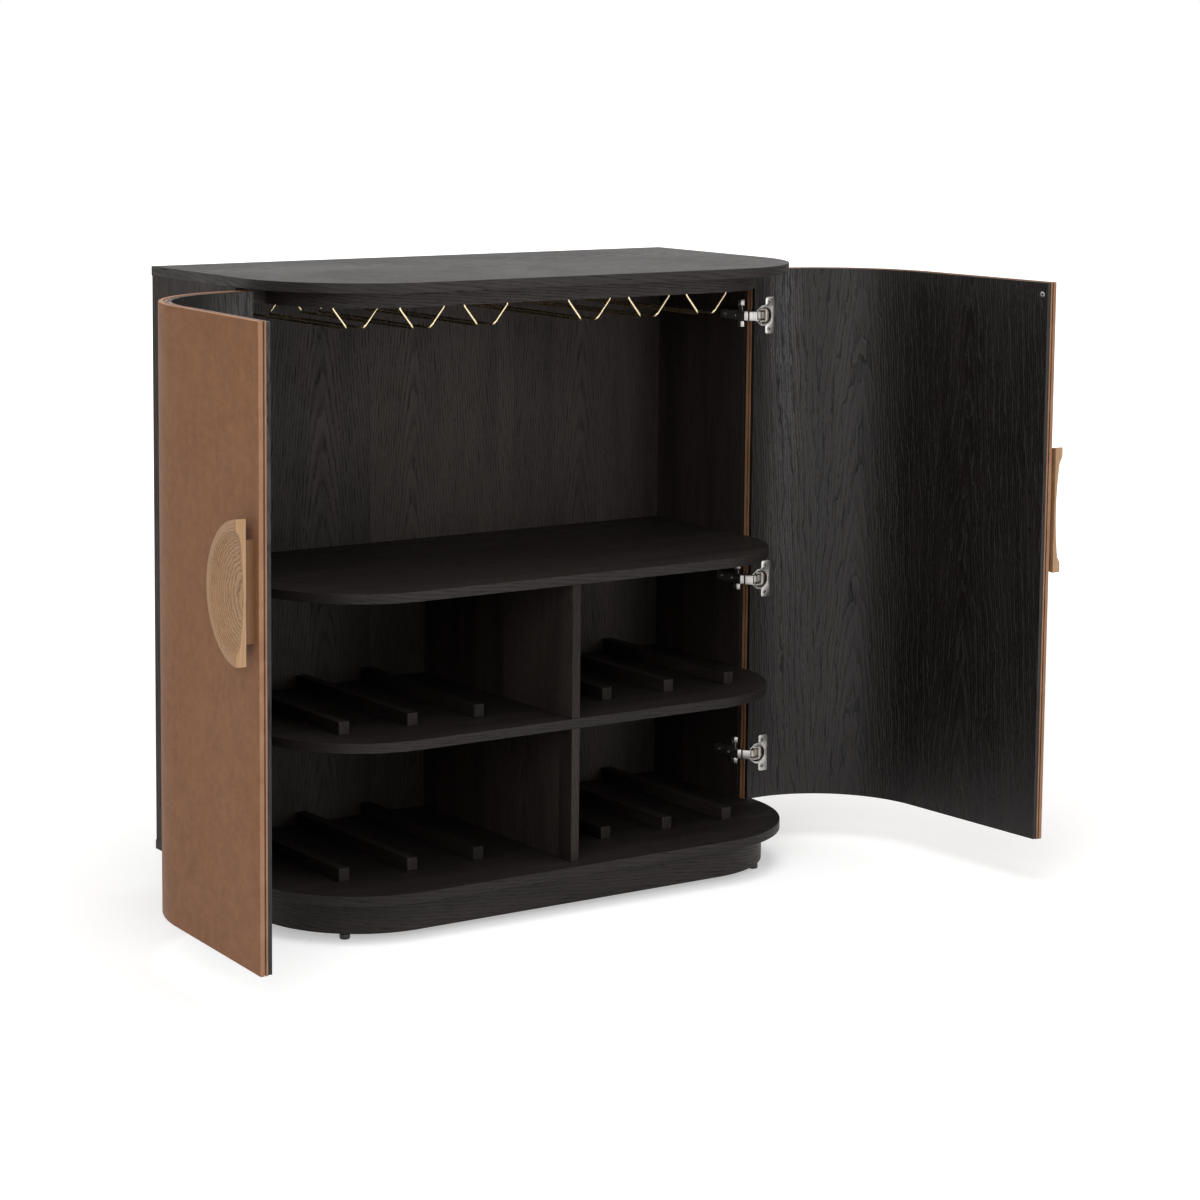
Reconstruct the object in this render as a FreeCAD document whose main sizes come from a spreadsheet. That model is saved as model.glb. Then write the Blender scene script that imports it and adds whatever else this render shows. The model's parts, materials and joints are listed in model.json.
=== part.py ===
import FreeCAD, Part
import math
import os
import re
import Sketcher
from FreeCAD import Placement, Rotation, Vector

# Bar cabinet with a D-shaped plan and two bent doors, in millimetres.
# +Z is up, the doors open towards -Y, and z = 0 is the floor under the feet.

doc = FreeCAD.newDocument("bar_cabinet")
sheet = doc.addObject("Spreadsheet::Sheet", "Sizes")

# Driving sizes
sizes = {
    # carcass
    "width": 1050,
    "depth": 530,
    "height": 1063,
    "corner_radius": 220,
    "top_thick": 16,
    "bottom_thick": 16,
    "sub_top_thick": 28,
    "sub_top_set_back": 57,
    "side_thick": 22,
    "side_return": 19,
    "side_overhang": 1,
    "back_thick": 12,
    "back_recess": 24,
    "shelf_thick": 16,
    "shelf_door_gap": 6.5,
    "lower_bay_height": 227,
    "upper_bay_height": 226,
    "divider_thick": 16,
    "divider_set_back": 1,
    # plinth and feet
    "plinth_height": 54.5,
    "plinth_thick": 18,
    "plinth_set_back": 32,
    "foot_height": 10.5,
    "foot_radius": 8.5,
    "foot_stem_radius": 3,
    "foot_stem_rise": 24,
    "foot_arc_angle": 52,
    "foot_back_inset": 34,
    # bottle rails
    "rail_width": 20,
    "rail_height": 22,
    "rail_pitch_share": 0.259,
    "rail_set_back": 96,
    # stemware hangers
    "wire_radius": 2,
    "hanger_back_gap": 72,
    "hanger_top_width": 83,
    "hanger_slot_width": 30,
    "hanger_drop": 35,
    "hanger_bend": 7,
    "hanger_peg_rise": 12,
    "hanger_edge_gap": 5,
    # doors
    "door_set_in": 0.8,
    "leather_thick": 13.2,
    "welt_depth": 7.7,
    "welt_width": 2.8,
    "welt_sink": 1.8,
    "leather_round": 2,
    "board_thick": 7,
    "board_inset": 1,
    "door_top_gap": 5,
    "door_bottom_gap": 2.5,
    "meeting_gap": 3,
    "hinge_gap": 4.5,
    "open_angle": 93.3,
    # concealed hinges
    "pin_from_end": 10.5,
    "pin_from_face": 10.2,
    "pin_radius": 1.5,
    "pin_clearance": 0.08,
    "cup_radius": 17.5,
    "cup_edge": 4.5,
    "cup_eye_gap": 0.7,
    "cup_wall": 1,
    "cup_rim": 2,
    "flange_thick": 1.2,
    "flange_height": 66,
    "flange_width": 16,
    "flange_screw_span": 48,
    "flange_screw_offset": 9.5,
    "seat_margin": 1,
    "arm_gauge": 2,
    "arm_width": 16,
    "arm_eye_width": 12,
    "arm_eye_wall": 1,
    "arm_reach": 17.5,
    "arm_angle": 272,
    "arm_length": 72,
    "plate_set_back": 1.5,
    "plate_length": 52,
    "plate_hub_width": 16,
    "plate_wing_span": 48,
    "plate_wing_width": 14,
    "plate_wing_thick": 2.5,
    "plate_screw_span": 32,
    "top_hinge_drop": 83,
    "middle_hinge_rise": 402,
    "bottom_hinge_rise": 83,
    # handles
    "handle_radius": 108,
    "handle_thick": 17.4,
    "handle_inset": 7.5,
    "handle_height": 651,
    "dish_radius": 92,
    "dish_step_radius": 82,
    "dish_step_depth": 6.2,
    "dish_depth": 12.2,
    "stand_radius": 78,
    "stand_thick": 16.5,
    "stand_inset": 14,
    "handle_screw_span": 64,
    "handle_screw_inset": 13.5,
    "handle_screw_bite": 2.4,
    # fasteners and small fittings
    "screw_radius": 1.75,
    "screw_length": 12,
    "screw_head_radius": 3.6,
    "screw_head_thick": 1.8,
    "bolt_radius": 2,
    "bolt_head_radius": 4,
    "bolt_head_thick": 1.6,
    "strike_radius": 5,
    "strike_thick": 1.2,
    "strike_inset": 13,
    "strike_drop": 21,
    "dowel_radius": 4,
    "dowel_length": 20,
    "dowel_edge": 45,
    "fit_clearance": 0.1,
    "cut_overrun": 2,
}
for row, (alias, value) in enumerate(sizes.items(), 1):
    sheet.set("A%d" % row, alias)
    sheet.set("B%d" % row, str(value))
    sheet.setAlias("B%d" % row, alias)
doc.recompute()

# Places worked out from the driving sizes
places = {
    "half_width": "width / 2",
    "back_y": "depth / 2",
    "front_y": "0 - depth / 2",
    "arc_x": "half_width - corner_radius",
    "arc_y": "front_y + corner_radius",
    "plinth_top": "foot_height + plinth_height",
    "floor_z": "plinth_top + bottom_thick",
    "top_under": "height - top_thick",
    "sub_under": "top_under - sub_top_thick",
    "side_x": "half_width - side_overhang - side_thick",
    "side_back": "back_y - side_overhang",
    "side_front": "arc_y + side_return",
    "side_depth": "side_back - side_front",
    "back_front": "side_back - back_recess - back_thick",
    "door_thick": "leather_thick + board_thick",
    "shelf_inset": "door_set_in + door_thick + shelf_door_gap",
    "lower_shelf_z": "floor_z + lower_bay_height",
    "mid_shelf_z": "lower_shelf_z + shelf_thick + upper_bay_height",
    "divider_front": "front_y + shelf_inset + divider_set_back",
    "rail_pitch": "side_x * rail_pitch_share",
    "rail_front": "front_y + shelf_inset + rail_set_back",
    "sub_front": "front_y + sub_top_set_back",
    "door_face_x": "half_width - door_set_in",
    "door_face_y": "front_y + door_set_in",
    "board_face_x": "door_face_x - door_thick",
    "board_face_y": "door_face_y + door_thick",
    "door_end": "side_front - hinge_gap",
    "door_low": "floor_z + door_bottom_gap",
    "door_high": "top_under - door_top_gap",
    "pin_x": "door_face_x - pin_from_face",
    "pin_y": "door_end - pin_from_end",
    "cup_y": "door_end - cup_edge - cup_radius",
    "arm_eye_radius": "pin_radius + pin_clearance + arm_eye_wall",
    "cup_depth": "pin_x + arm_eye_radius + cup_eye_gap + cup_wall - board_face_x",
    "pin_offset": "pin_y - cup_y",
    "arm_x": "pin_x - arm_reach",
    "plate_y": "side_front + plate_set_back",
    "top_hinge": "door_high - top_hinge_drop",
    "middle_hinge": "door_low + middle_hinge_rise",
    "bottom_hinge": "door_low + bottom_hinge_rise",
    "handle_x": "meeting_gap / 2 + handle_inset",
    "stand_x": "meeting_gap / 2 + stand_inset",
    "stand_y": "door_face_y - stand_thick",
    "handle_y": "stand_y - handle_thick",
    "dish_rise": "(dish_depth - dish_step_depth)",
    "dish_bend": "(dish_step_radius * dish_step_radius + dish_rise * dish_rise) / (2 * dish_rise)",
    "open_sin": "sin(1 deg * open_angle)",
    "open_cos": "cos(1 deg * open_angle)",
    "open_front": "pin_y + open_sin * (meeting_gap / 2 - pin_x)"
                  " + open_cos * (door_face_y + leather_thick - pin_y)",
    "plan_shift": "0 - (back_y + open_front) / 2",
}


def full(text):
    # Writes a size expression out in cells of the sheet
    def cell(found):
        word = found.group(0)
        if word in sizes:
            return "Sizes." + word
        if word in places:
            return "(" + full(places[word]) + ")"
        return word
    return re.sub(r"[a-z_]+", cell, str(text))


def num(text):
    return float(sheet.evalExpression(full(text)))


def bind(obj, prop, text):
    obj.setExpression(prop, full(text))


def mirrored(side, text):
    # The left-hand copy of an x place has the opposite sign
    return text if side > 0 else "0 - (%s)" % text


def box(name, low, size):
    obj = doc.addObject("Part::Box", name)
    for axis, text in zip("xyz", low):
        bind(obj, "Placement.Base." + axis, text)
    for prop, text in zip(("Length", "Width", "Height"), size):
        bind(obj, prop, text)
    return obj


def side_box(name, side, low, size):
    # A box given for the right-hand side, with its low x corner mirrored on the left
    low_x = low[0] if side > 0 else "0 - (%s) - (%s)" % (low[0], size[0])
    return box(name, (low_x, low[1], low[2]), size)


def rod(name, base, radius, length, axis=(0, 0, 1)):
    obj = doc.addObject("Part::Cylinder", name)
    obj.Placement = Placement(Vector(), Rotation(Vector(0, 0, 1), Vector(axis)))
    for letter, text in zip("xyz", base):
        bind(obj, "Placement.Base." + letter, text)
    bind(obj, "Radius", radius)
    bind(obj, "Height", length)
    return obj


def fuse(name, pieces):
    obj = doc.addObject("Part::MultiFuse", name)
    obj.Shapes = pieces
    return obj


def group(name, pieces):
    obj = doc.addObject("Part::Compound", name)
    obj.Links = pieces
    return obj


def cut(name, base, tools):
    obj = doc.addObject("Part::Cut", name)
    obj.Base = base
    obj.Tool = tools[0] if len(tools) == 1 else group(name + "_tools", tools)
    return obj


def outline(body, name, corners, arcs, level):
    # A closed sketch whose corners and arcs are all tied to the sheet
    sketch = body.newObject("Sketcher::SketchObject", name)
    plane = [o for o in body.Origin.OriginFeatures if o.Role == "XY_Plane"][0]
    sketch.AttachmentSupport = [(plane, "")]
    sketch.MapMode = "FlatFace"
    bind(sketch, "AttachmentOffset.Base.z", level)
    points = [Vector(num(x), num(y), 0) for x, y in corners]
    ends = []
    for i, start in enumerate(points):
        stop = points[(i + 1) % len(points)]
        if i in arcs:
            centre = Vector(num(arcs[i][0]), num(arcs[i][1]), 0)
            forward = (start - centre).cross(stop - centre).z > 0
            first, last = (start, stop) if forward else (stop, start)
            turns = [math.atan2(spot.y - centre.y, spot.x - centre.x) for spot in (first, last)]
            circle = Part.Circle(centre, Vector(0, 0, 1), (start - centre).Length)
            edge = sketch.addGeometry(Part.ArcOfCircle(circle, *turns))
            ends.append((edge, 1, 2) if forward else (edge, 2, 1))
        else:
            edge = sketch.addGeometry(Part.LineSegment(start, stop))
            ends.append((edge, 1, 2))
    for i, (edge, first, last) in enumerate(ends):
        after = ends[(i + 1) % len(ends)]
        sketch.addConstraint(Sketcher.Constraint("Coincident", edge, last, after[0], after[1]))
    for i, (edge, first, last) in enumerate(ends):
        for kind, text in zip(("DistanceX", "DistanceY"), corners[i]):
            made = sketch.addConstraint(Sketcher.Constraint(kind, -1, 1, edge, first, num(text)))
            bind(sketch, "Constraints[%d]" % made, text)
        if i in arcs:
            made = sketch.addConstraint(Sketcher.Constraint("Radius", edge, num(arcs[i][2])))
            bind(sketch, "Constraints[%d]" % made, arcs[i][2])
    return sketch


def pad(body, name, corners, arcs, level, thick):
    sketch = outline(body, name + "_sketch", corners, arcs, level)
    obj = body.newObject("PartDesign::Pad", name)
    obj.Profile = sketch
    bind(obj, "Length", thick)
    return obj


def board(name, corners, arcs, level, thick):
    body = doc.addObject("PartDesign::Body", name)
    pad(body, name + "_pad", corners, arcs, level, thick)
    return body


parts = []


def stand(label, obj):
    # Sets a finished piece of the carcass in the part's own frame
    holder = group(label, [obj])
    holder.Label = label
    bind(holder, "Placement.Base.y", "plan_shift")
    parts.append(holder)
    return holder


def hang(label, side, obj):
    # Turns a finished piece of a door, drawn closed, about its hinge axis to the open rest pose
    holder = group(label, [obj])
    holder.Label = label
    holder.Placement = Placement(Vector(), Rotation(Vector(0, 0, side), num("open_angle")))
    x = "(pin_x - open_cos * pin_x + open_sin * pin_y)"
    bind(holder, "Placement.Base.x", mirrored(side, x))
    bind(holder, "Placement.Base.y", "pin_y - open_sin * pin_x - open_cos * pin_y + plan_shift")
    bind(holder, "Placement.Rotation.Angle", "open_angle * 1 deg")
    parts.append(holder)
    return holder


def side_name(side):
    return "right" if side > 0 else "left"


sides = (1, -1)
hinge_levels = ("top_hinge", "middle_hinge", "bottom_hinge")


def rounded_outline(inset, back):
    # D-shaped plan: square at the back, the cabinet's corner radius less the inset at the front
    x = "half_width - (%s)" % inset
    y = "front_y + (%s)" % inset
    radius = "corner_radius - (%s)" % inset
    corners = [("0 - (%s)" % x, back), ("0 - (%s)" % x, "arc_y"), ("0 - arc_x", y),
               ("arc_x", y), (x, "arc_y"), (x, back)]
    arcs = {1: ("0 - arc_x", "arc_y", radius), 3: ("arc_x", "arc_y", radius)}
    return corners, arcs


def stepped_outline(inset):
    # A board between the side panels whose rounded front stands clear inside the doors
    corners, arcs = rounded_outline(inset, "side_front")
    corners = [("0 - side_x", "back_front"), ("0 - side_x", "side_front")] + corners
    corners = corners + [("side_x", "side_front"), ("side_x", "back_front")]
    return corners, {i + 2: arc for i, arc in arcs.items()}


# Dowels that join the side panels to the top, the bottom and the shelves
dowel_rows = ("side_back - dowel_edge", "side_front + dowel_edge")
dowel_x = "side_x + side_thick / 2"
upright_dowels = []
level_dowels = {"mid_shelf": [], "lower_shelf": []}
shelf_levels = {"mid_shelf": "mid_shelf_z", "lower_shelf": "lower_shelf_z"}
for side in sides:
    for end, level in (("foot", "floor_z"), ("head", "top_under")):
        for i, y in enumerate(dowel_rows):
            name = "dowel_%s_%s_%d" % (side_name(side), end, i)
            upright_dowels.append((name, (mirrored(side, dowel_x), y,
                                          "%s - dowel_length / 2" % level), (0, 0, 1)))
    for shelf, level in shelf_levels.items():
        for i, y in enumerate(("back_front - dowel_edge", "side_front + dowel_edge")):
            name = "dowel_%s_%s_%d" % (side_name(side), shelf, i)
            level_dowels[shelf].append((name, (mirrored(side, "side_x - dowel_length / 2"), y,
                                               level + " + shelf_thick / 2"), (side, 0, 0)))


def dowel_set(rows, suffix, radius, grow):
    made = []
    for name, (x, y, z), axis in rows:
        back = [text + " - %d * (%s)" % (share, grow) for text, share in zip((x, y, z), axis)]
        made.append(rod(name + suffix, back, radius, "dowel_length + 2 * (%s)" % grow, axis))
    return made


every_dowel = upright_dowels + level_dowels["mid_shelf"] + level_dowels["lower_shelf"]
stand("carcass_dowels", group("dowels", dowel_set(every_dowel, "", "dowel_radius", "0")))


def dowel_holes(rows, suffix):
    return dowel_set(rows, suffix, "dowel_radius + fit_clearance", "fit_clearance")


# Top and bottom panels
corners, arcs = rounded_outline("0", "back_y")
top = board("top_board", corners, arcs, "top_under", "top_thick")
heads = [row for row in upright_dowels if "head" in row[0]]
feet_rows = [row for row in upright_dowels if "foot" in row[0]]
stand("top_panel", cut("top_drilled", top, dowel_holes(heads, "_top")))
corners, arcs = rounded_outline("0", "back_y")
bottom = board("bottom_board", corners, arcs, "plinth_top", "bottom_thick")
stand("bottom_panel", cut("bottom_drilled", bottom, dowel_holes(feet_rows, "_bottom")))

# Hinge plate screws, laid out once for the plates, the side panels and the screws themselves
plate_screw_y = "plate_y + plate_wing_width / 2"


def plate_screw_places(side):
    return [(mirrored(side, "side_x"), plate_screw_y, "%s %s plate_screw_span / 2" % (level, sign))
            for level in hinge_levels for sign in "+-"]


# Side panels
for side in sides:
    name = side_name(side)
    blank = side_box(name + "_side_blank", side, ("side_x", "side_front", "floor_z"),
                     ("side_thick", "side_depth", "top_under - floor_z"))
    rows = [row for row in every_dowel if name in row[0]]
    tools = dowel_holes(rows, "_side")
    for i, place in enumerate(plate_screw_places(side)):
        tools.append(rod("%s_side_pilot_%d" % (name, i), place, "screw_radius + fit_clearance",
                         "screw_length", (side, 0, 0)))
    stand(name + "_side_panel", cut(name + "_side_drilled", blank, tools))

# Back panel, let in between the sides
stand("back_panel", box("back_blank", ("0 - side_x", "back_front", "floor_z"),
                        ("2 * side_x", "back_thick", "top_under - floor_z")))

# Stemware hangers: one bent wire each, pegged into the board above and open towards the front
hanger_shares = (-0.75, -0.56, -0.319, 0.086, 0.327, 0.568)


def hanger_front(x):
    # A wire's front legs stand just behind the edge of the board above, straight or round
    reach = "(abs(%s) + hanger_top_width / 2 + wire_radius)" % x
    beyond = "(max(%s; arc_x) - arc_x)" % reach
    radius = "(corner_radius - sub_top_set_back)"
    edge = "arc_y - sqrt(max(%s * %s - %s * %s; 0))" % (radius, radius, beyond, beyond)
    return "%s + hanger_edge_gap + wire_radius" % edge


def bent_wire(points, bend, radius):
    # Straight runs joined by tangent arcs
    edges = []
    start = points[0]
    for before, corner, after in zip(points, points[1:], points[2:]):
        way_in = (corner - before).normalize()
        way_out = (after - corner).normalize()
        half_turn = way_in.getAngle(way_out) / 2
        back = bend * math.tan(half_turn)
        arc_in = corner - way_in * back
        arc_out = corner + way_out * back
        inward = (way_out - way_in).normalize()
        middle = corner + inward * (bend / math.cos(half_turn) - bend)
        edges.append(Part.makeLine(start, arc_in))
        edges.append(Part.Arc(arc_in, middle, arc_out).toShape())
        start = arc_out
    edges.append(Part.makeLine(start, points[-1]))
    path = Part.Wire(edges)
    ring = Part.Wire([Part.makeCircle(radius, points[0], points[1] - points[0])])
    return path.makePipeShell([ring], True, False)


peg_holes = []
for i, share in enumerate(hanger_shares):
    x = "side_x * (%g)" % share
    front = hanger_front(x)
    rear = "back_front - hanger_back_gap"
    run_z = "sub_under - hanger_drop"
    knee_z = "sub_under - wire_radius"
    path = []
    for side in sides:
        top_x = "%s - (%d) * hanger_top_width / 2" % (x, side)
        slot_x = "%s - (%d) * hanger_slot_width / 2" % (x, side)
        leg = [(top_x, front, "sub_under + hanger_peg_rise"), (top_x, front, knee_z),
               (slot_x, front, run_z), (slot_x, rear, run_z), (top_x, rear, knee_z)]
        path += leg[::side]
        peg_holes.append(rod("hanger_hole_%d_%s" % (i + 1, side_name(side)),
                             (top_x, front, "sub_under - fit_clearance"),
                             "wire_radius + fit_clearance", "hanger_peg_rise + 2 * fit_clearance"))
    points = [Vector(*[num(text) for text in point]) for point in path]
    wire = doc.addObject("Part::Feature", "hanger_wire_%d" % (i + 1))
    wire.Shape = bent_wire(points, num("hanger_bend"), num("wire_radius"))
    stand("stem_hanger_%d" % (i + 1), wire)

# Sub-top and shelves
corners, arcs = stepped_outline("sub_top_set_back")
sub_top = board("sub_top_board", corners, arcs, "sub_under", "sub_top_thick")
stand("sub_top", cut("sub_top_drilled", sub_top, peg_holes))
for shelf, level in shelf_levels.items():
    corners, arcs = stepped_outline("shelf_inset")
    blank = board(shelf + "_board", corners, arcs, level, "shelf_thick")
    stand(shelf, cut(shelf + "_drilled", blank, dowel_holes(level_dowels[shelf], "_shelf")))

# Dividers under the two shelves
bays = {"lower": ("floor_z", "lower_bay_height"),
        "upper": ("lower_shelf_z + shelf_thick", "upper_bay_height")}
for bay, (level, rise) in bays.items():
    stand(bay + "_divider", box(bay + "_divider_blank",
                                ("0 - divider_thick / 2", "divider_front", level),
                                ("divider_thick", "back_front - divider_front", rise)))

# Bottle rails, three in each of the four bays
for bay, (level, rise) in bays.items():
    for side in sides:
        for count in (1, 2, 3):
            name = "%s_%s_rail_%d" % (bay, side_name(side), count)
            x = mirrored(side, "%d * rail_pitch" % count) + " - rail_width / 2"
            stand(name, box(name + "_blank", (x, "rail_front", level),
                            ("rail_width", "back_front - rail_front", "rail_height")))

# Plinth: a bent band at the front and sides, a rail behind, and four levelling feet
plinth_back = "back_y - plinth_set_back"
outer, outer_arcs = rounded_outline("plinth_set_back", plinth_back)
inner, inner_arcs = rounded_outline("plinth_set_back + plinth_thick", plinth_back)
last = len(outer)
band = outer + inner[::-1]
band_arcs = dict(outer_arcs)
for i, arc in inner_arcs.items():
    band_arcs[2 * last - 2 - i] = arc
band_board = board("plinth_board", band, band_arcs, "foot_height", "plinth_height")
foot_ring = "(corner_radius - plinth_set_back - plinth_thick / 2)"
front_foot_x = "arc_x + %s * cos(foot_arc_angle * 1 deg)" % foot_ring
front_foot_y = "arc_y - %s * sin(foot_arc_angle * 1 deg)" % foot_ring
back_foot_x = "half_width - plinth_set_back - plinth_thick / 2"
back_foot_y = plinth_back + " - foot_back_inset"
foot_places = [(mirrored(side, x), y) for side in sides
               for x, y in ((front_foot_x, front_foot_y), (back_foot_x, back_foot_y))]
feet = []
foot_holes = []
for i, (x, y) in enumerate(foot_places):
    foot_pad = rod("foot_pad_%d" % i, (x, y, "0"), "foot_radius", "foot_height")
    stem = rod("foot_stem_%d" % i, (x, y, "0"), "foot_stem_radius", "foot_height + foot_stem_rise")
    feet.append(fuse("foot_%d" % i, [foot_pad, stem]))
    foot_holes.append(rod("foot_hole_%d" % i, (x, y, "0"), "foot_stem_radius + fit_clearance",
                          "foot_height + foot_stem_rise + fit_clearance"))
stand("plinth_band", cut("plinth_drilled", band_board, foot_holes))
stand("levelling_feet", group("feet", feet))
rail_half = "half_width - plinth_set_back - plinth_thick"
stand("plinth_back_rail", box("plinth_rail_blank",
                              ("0 - (%s)" % rail_half, plinth_back + " - plinth_thick", "foot_height"),
                              ("2 * (%s)" % rail_half, "plinth_thick", "plinth_height")))


def door_layer(side, near, far, end_inset):
    # J-shaped plan of one layer of a door, between two depths behind its outer face
    def face(text):
        return (mirrored(side, "door_face_x - (%s)" % text), "door_face_y + (%s)" % text,
                "corner_radius - door_set_in - (%s)" % text)
    end = "door_end - (%s)" % end_inset
    free = mirrored(side, "meeting_gap / 2 + (%s)" % end_inset)
    turn = mirrored(side, "arc_x")
    near_x, near_y, near_radius = face(near)
    far_x, far_y, far_radius = face(far)
    corners = [(near_x, end), (near_x, "arc_y"), (turn, near_y), (free, near_y),
               (free, far_y), (turn, far_y), (far_x, "arc_y"), (far_x, end)]
    arcs = {1: (turn, "arc_y", near_radius), 5: (turn, "arc_y", far_radius)}
    return corners, arcs


def door_tools(side, tag):
    # Everything bored into a door: cups, flange seats, cup screws and handle bolts
    name = side_name(side) + "_" + tag
    made = []
    for i, level in enumerate(hinge_levels):
        made.append(rod("%s_bore_%d" % (name, i),
                        (mirrored(side, "board_face_x - cut_overrun"), "cup_y", level),
                        "cup_radius + fit_clearance", "cup_depth + cut_overrun + fit_clearance",
                        (side, 0, 0)))
        made.append(side_box("%s_seat_%d" % (name, i), side,
                             ("board_face_x - board_thick", "cup_y - cup_radius - cup_rim - seat_margin",
                              level + " - flange_height / 2 - seat_margin"),
                             ("board_thick", "2 * cup_radius + 2 * cup_rim + seat_margin + cut_overrun",
                              "flange_height + 2 * seat_margin")))
        for j, sign in enumerate("+-"):
            made.append(rod("%s_pilot_%d_%d" % (name, i, j),
                            (mirrored(side, "board_face_x - cut_overrun"), "cup_y - flange_screw_offset",
                             "%s %s flange_screw_span / 2" % (level, sign)),
                            "screw_radius + fit_clearance", "screw_length + cut_overrun", (side, 0, 0)))
    for j, sign in enumerate("+-"):
        made.append(rod("%s_through_%d" % (name, j),
                        (mirrored(side, "stand_x + handle_screw_inset"), "board_face_y + cut_overrun",
                         "handle_height %s handle_screw_span / 2" % sign),
                        "bolt_radius + fit_clearance", "door_thick + 2 * cut_overrun", (0, -1, 0)))
    return made


door_rise = "door_high - door_low"
for side in sides:
    name = side_name(side)

    # Leather-wrapped outer panel with a sunk welt line round its edges
    panel = doc.addObject("PartDesign::Body", name + "_panel")
    layers = (("skin", "0", "welt_depth", "0"),
              ("welt", "welt_depth", "welt_depth + welt_width", "welt_sink"),
              ("backing", "welt_depth + welt_width", "leather_thick", "0"))
    for tag, near, far, inset in layers:
        corners, arcs = door_layer(side, near, far, inset)
        pad(panel, "%s_%s" % (name, tag), corners, arcs, "door_low + (%s)" % inset,
            "%s - 2 * (%s)" % (door_rise, inset))
    doc.recompute()
    skin = panel.Tip
    face_x = num("door_face_x")
    face_y = num("door_face_y")
    round_edges = []
    for i, edge in enumerate(skin.Shape.Edges):
        spots = [edge.valueAt(edge.FirstParameter + share * (edge.LastParameter - edge.FirstParameter))
                 for share in (0, 0.5, 1)]
        depths = []
        for spot in spots:
            across = abs(spot.x) - num("arc_x")
            along = num("arc_y") - spot.y
            if across > 0 and along > 0:
                depths.append(num("corner_radius - door_set_in") - math.hypot(across, along))
            elif across > 0:
                depths.append(face_x - abs(spot.x))
            else:
                depths.append(spot.y - face_y)
        flush = max(abs(depth) for depth in depths) < 1e-4
        across_face = abs(spots[0].z - spots[2].z) > num("leather_thick")
        at_end = abs(spots[1].z - num("door_low")) < 1e-4 or abs(spots[1].z - num("door_high")) < 1e-4
        inside = spots[1].y < num("door_end") - 1e-4 and abs(spots[1].x) > num("meeting_gap / 2") + 1e-4
        if flush and (at_end or (across_face and not inside)):
            round_edges.append("Edge%d" % (i + 1))
    soft = panel.newObject("PartDesign::Fillet", name + "_round")
    soft.Base = (skin, round_edges)
    bind(soft, "Radius", "leather_round")
    panel.Tip = soft
    hang(name + "_leather_panel", side, cut(name + "_panel_bored", panel, door_tools(side, "panel")))

    # Veneered board behind it, which carries the hinges
    corners, arcs = door_layer(side, "leather_thick", "door_thick", "board_inset")
    veneer = board(name + "_board", corners, arcs, "door_low + board_inset",
                   door_rise + " - 2 * board_inset")
    hang(name + "_door_board", side, cut(name + "_board_bored", veneer, door_tools(side, "board")))

    # Hinge cups with their flanges and pins
    cups = []
    cup_screws = []
    for i, level in enumerate(hinge_levels):
        tag = "%s_cup_%d" % (name, i)
        shell = rod(tag + "_shell", (mirrored(side, "board_face_x - flange_thick"), "cup_y", level),
                    "cup_radius", "cup_depth + flange_thick", (side, 0, 0))
        rim = rod(tag + "_rim", (mirrored(side, "board_face_x - flange_thick"), "cup_y", level),
                  "cup_radius + cup_rim", "flange_thick", (side, 0, 0))
        ears = side_box(tag + "_ears", side,
                        ("board_face_x - flange_thick", "cup_y - flange_screw_offset - flange_width / 2",
                         level + " - flange_height / 2"),
                        ("flange_thick", "flange_width", "flange_height"))
        hollow = rod(tag + "_hollow", (mirrored(side, "board_face_x - flange_thick - cut_overrun"),
                                       "cup_y", level), "cup_radius - cup_wall",
                     "cup_depth + flange_thick + cut_overrun - cup_wall", (side, 0, 0))
        holes = [hollow]
        for j, sign in enumerate("+-"):
            height = "%s %s flange_screw_span / 2" % (level, sign)
            holes.append(rod("%s_hole_%d" % (tag, j),
                             (mirrored(side, "board_face_x - flange_thick - cut_overrun"),
                              "cup_y - flange_screw_offset", height), "screw_radius + fit_clearance",
                             "flange_thick + 2 * cut_overrun", (side, 0, 0)))
            shank = rod("%s_shank_%d" % (tag, j),
                        (mirrored(side, "board_face_x - flange_thick"), "cup_y - flange_screw_offset",
                         height), "screw_radius", "screw_length", (side, 0, 0))
            head = rod("%s_head_%d" % (tag, j),
                       (mirrored(side, "board_face_x - flange_thick - screw_head_thick"),
                        "cup_y - flange_screw_offset", height), "screw_head_radius",
                       "screw_head_thick", (side, 0, 0))
            cup_screws.append(fuse("%s_screw_%d" % (tag, j), [shank, head]))
        bowl = cut(tag + "_bowl", fuse(tag + "_blank", [shell, rim, ears]), holes)
        half = "sqrt(cup_radius * cup_radius - (pin_offset + pin_radius) * (pin_offset + pin_radius))"
        pin = rod(tag + "_pin", (mirrored(side, "pin_x"), "pin_y", "%s - %s" % (level, half)),
                  "pin_radius", "2 * " + half)
        cups.append(fuse(tag, [bowl, pin]))
    hang(name + "_hinge_cups", side, group(name + "_cups", cups))
    hang(name + "_cup_screws", side, group(name + "_cup_screw_set", cup_screws))

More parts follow.
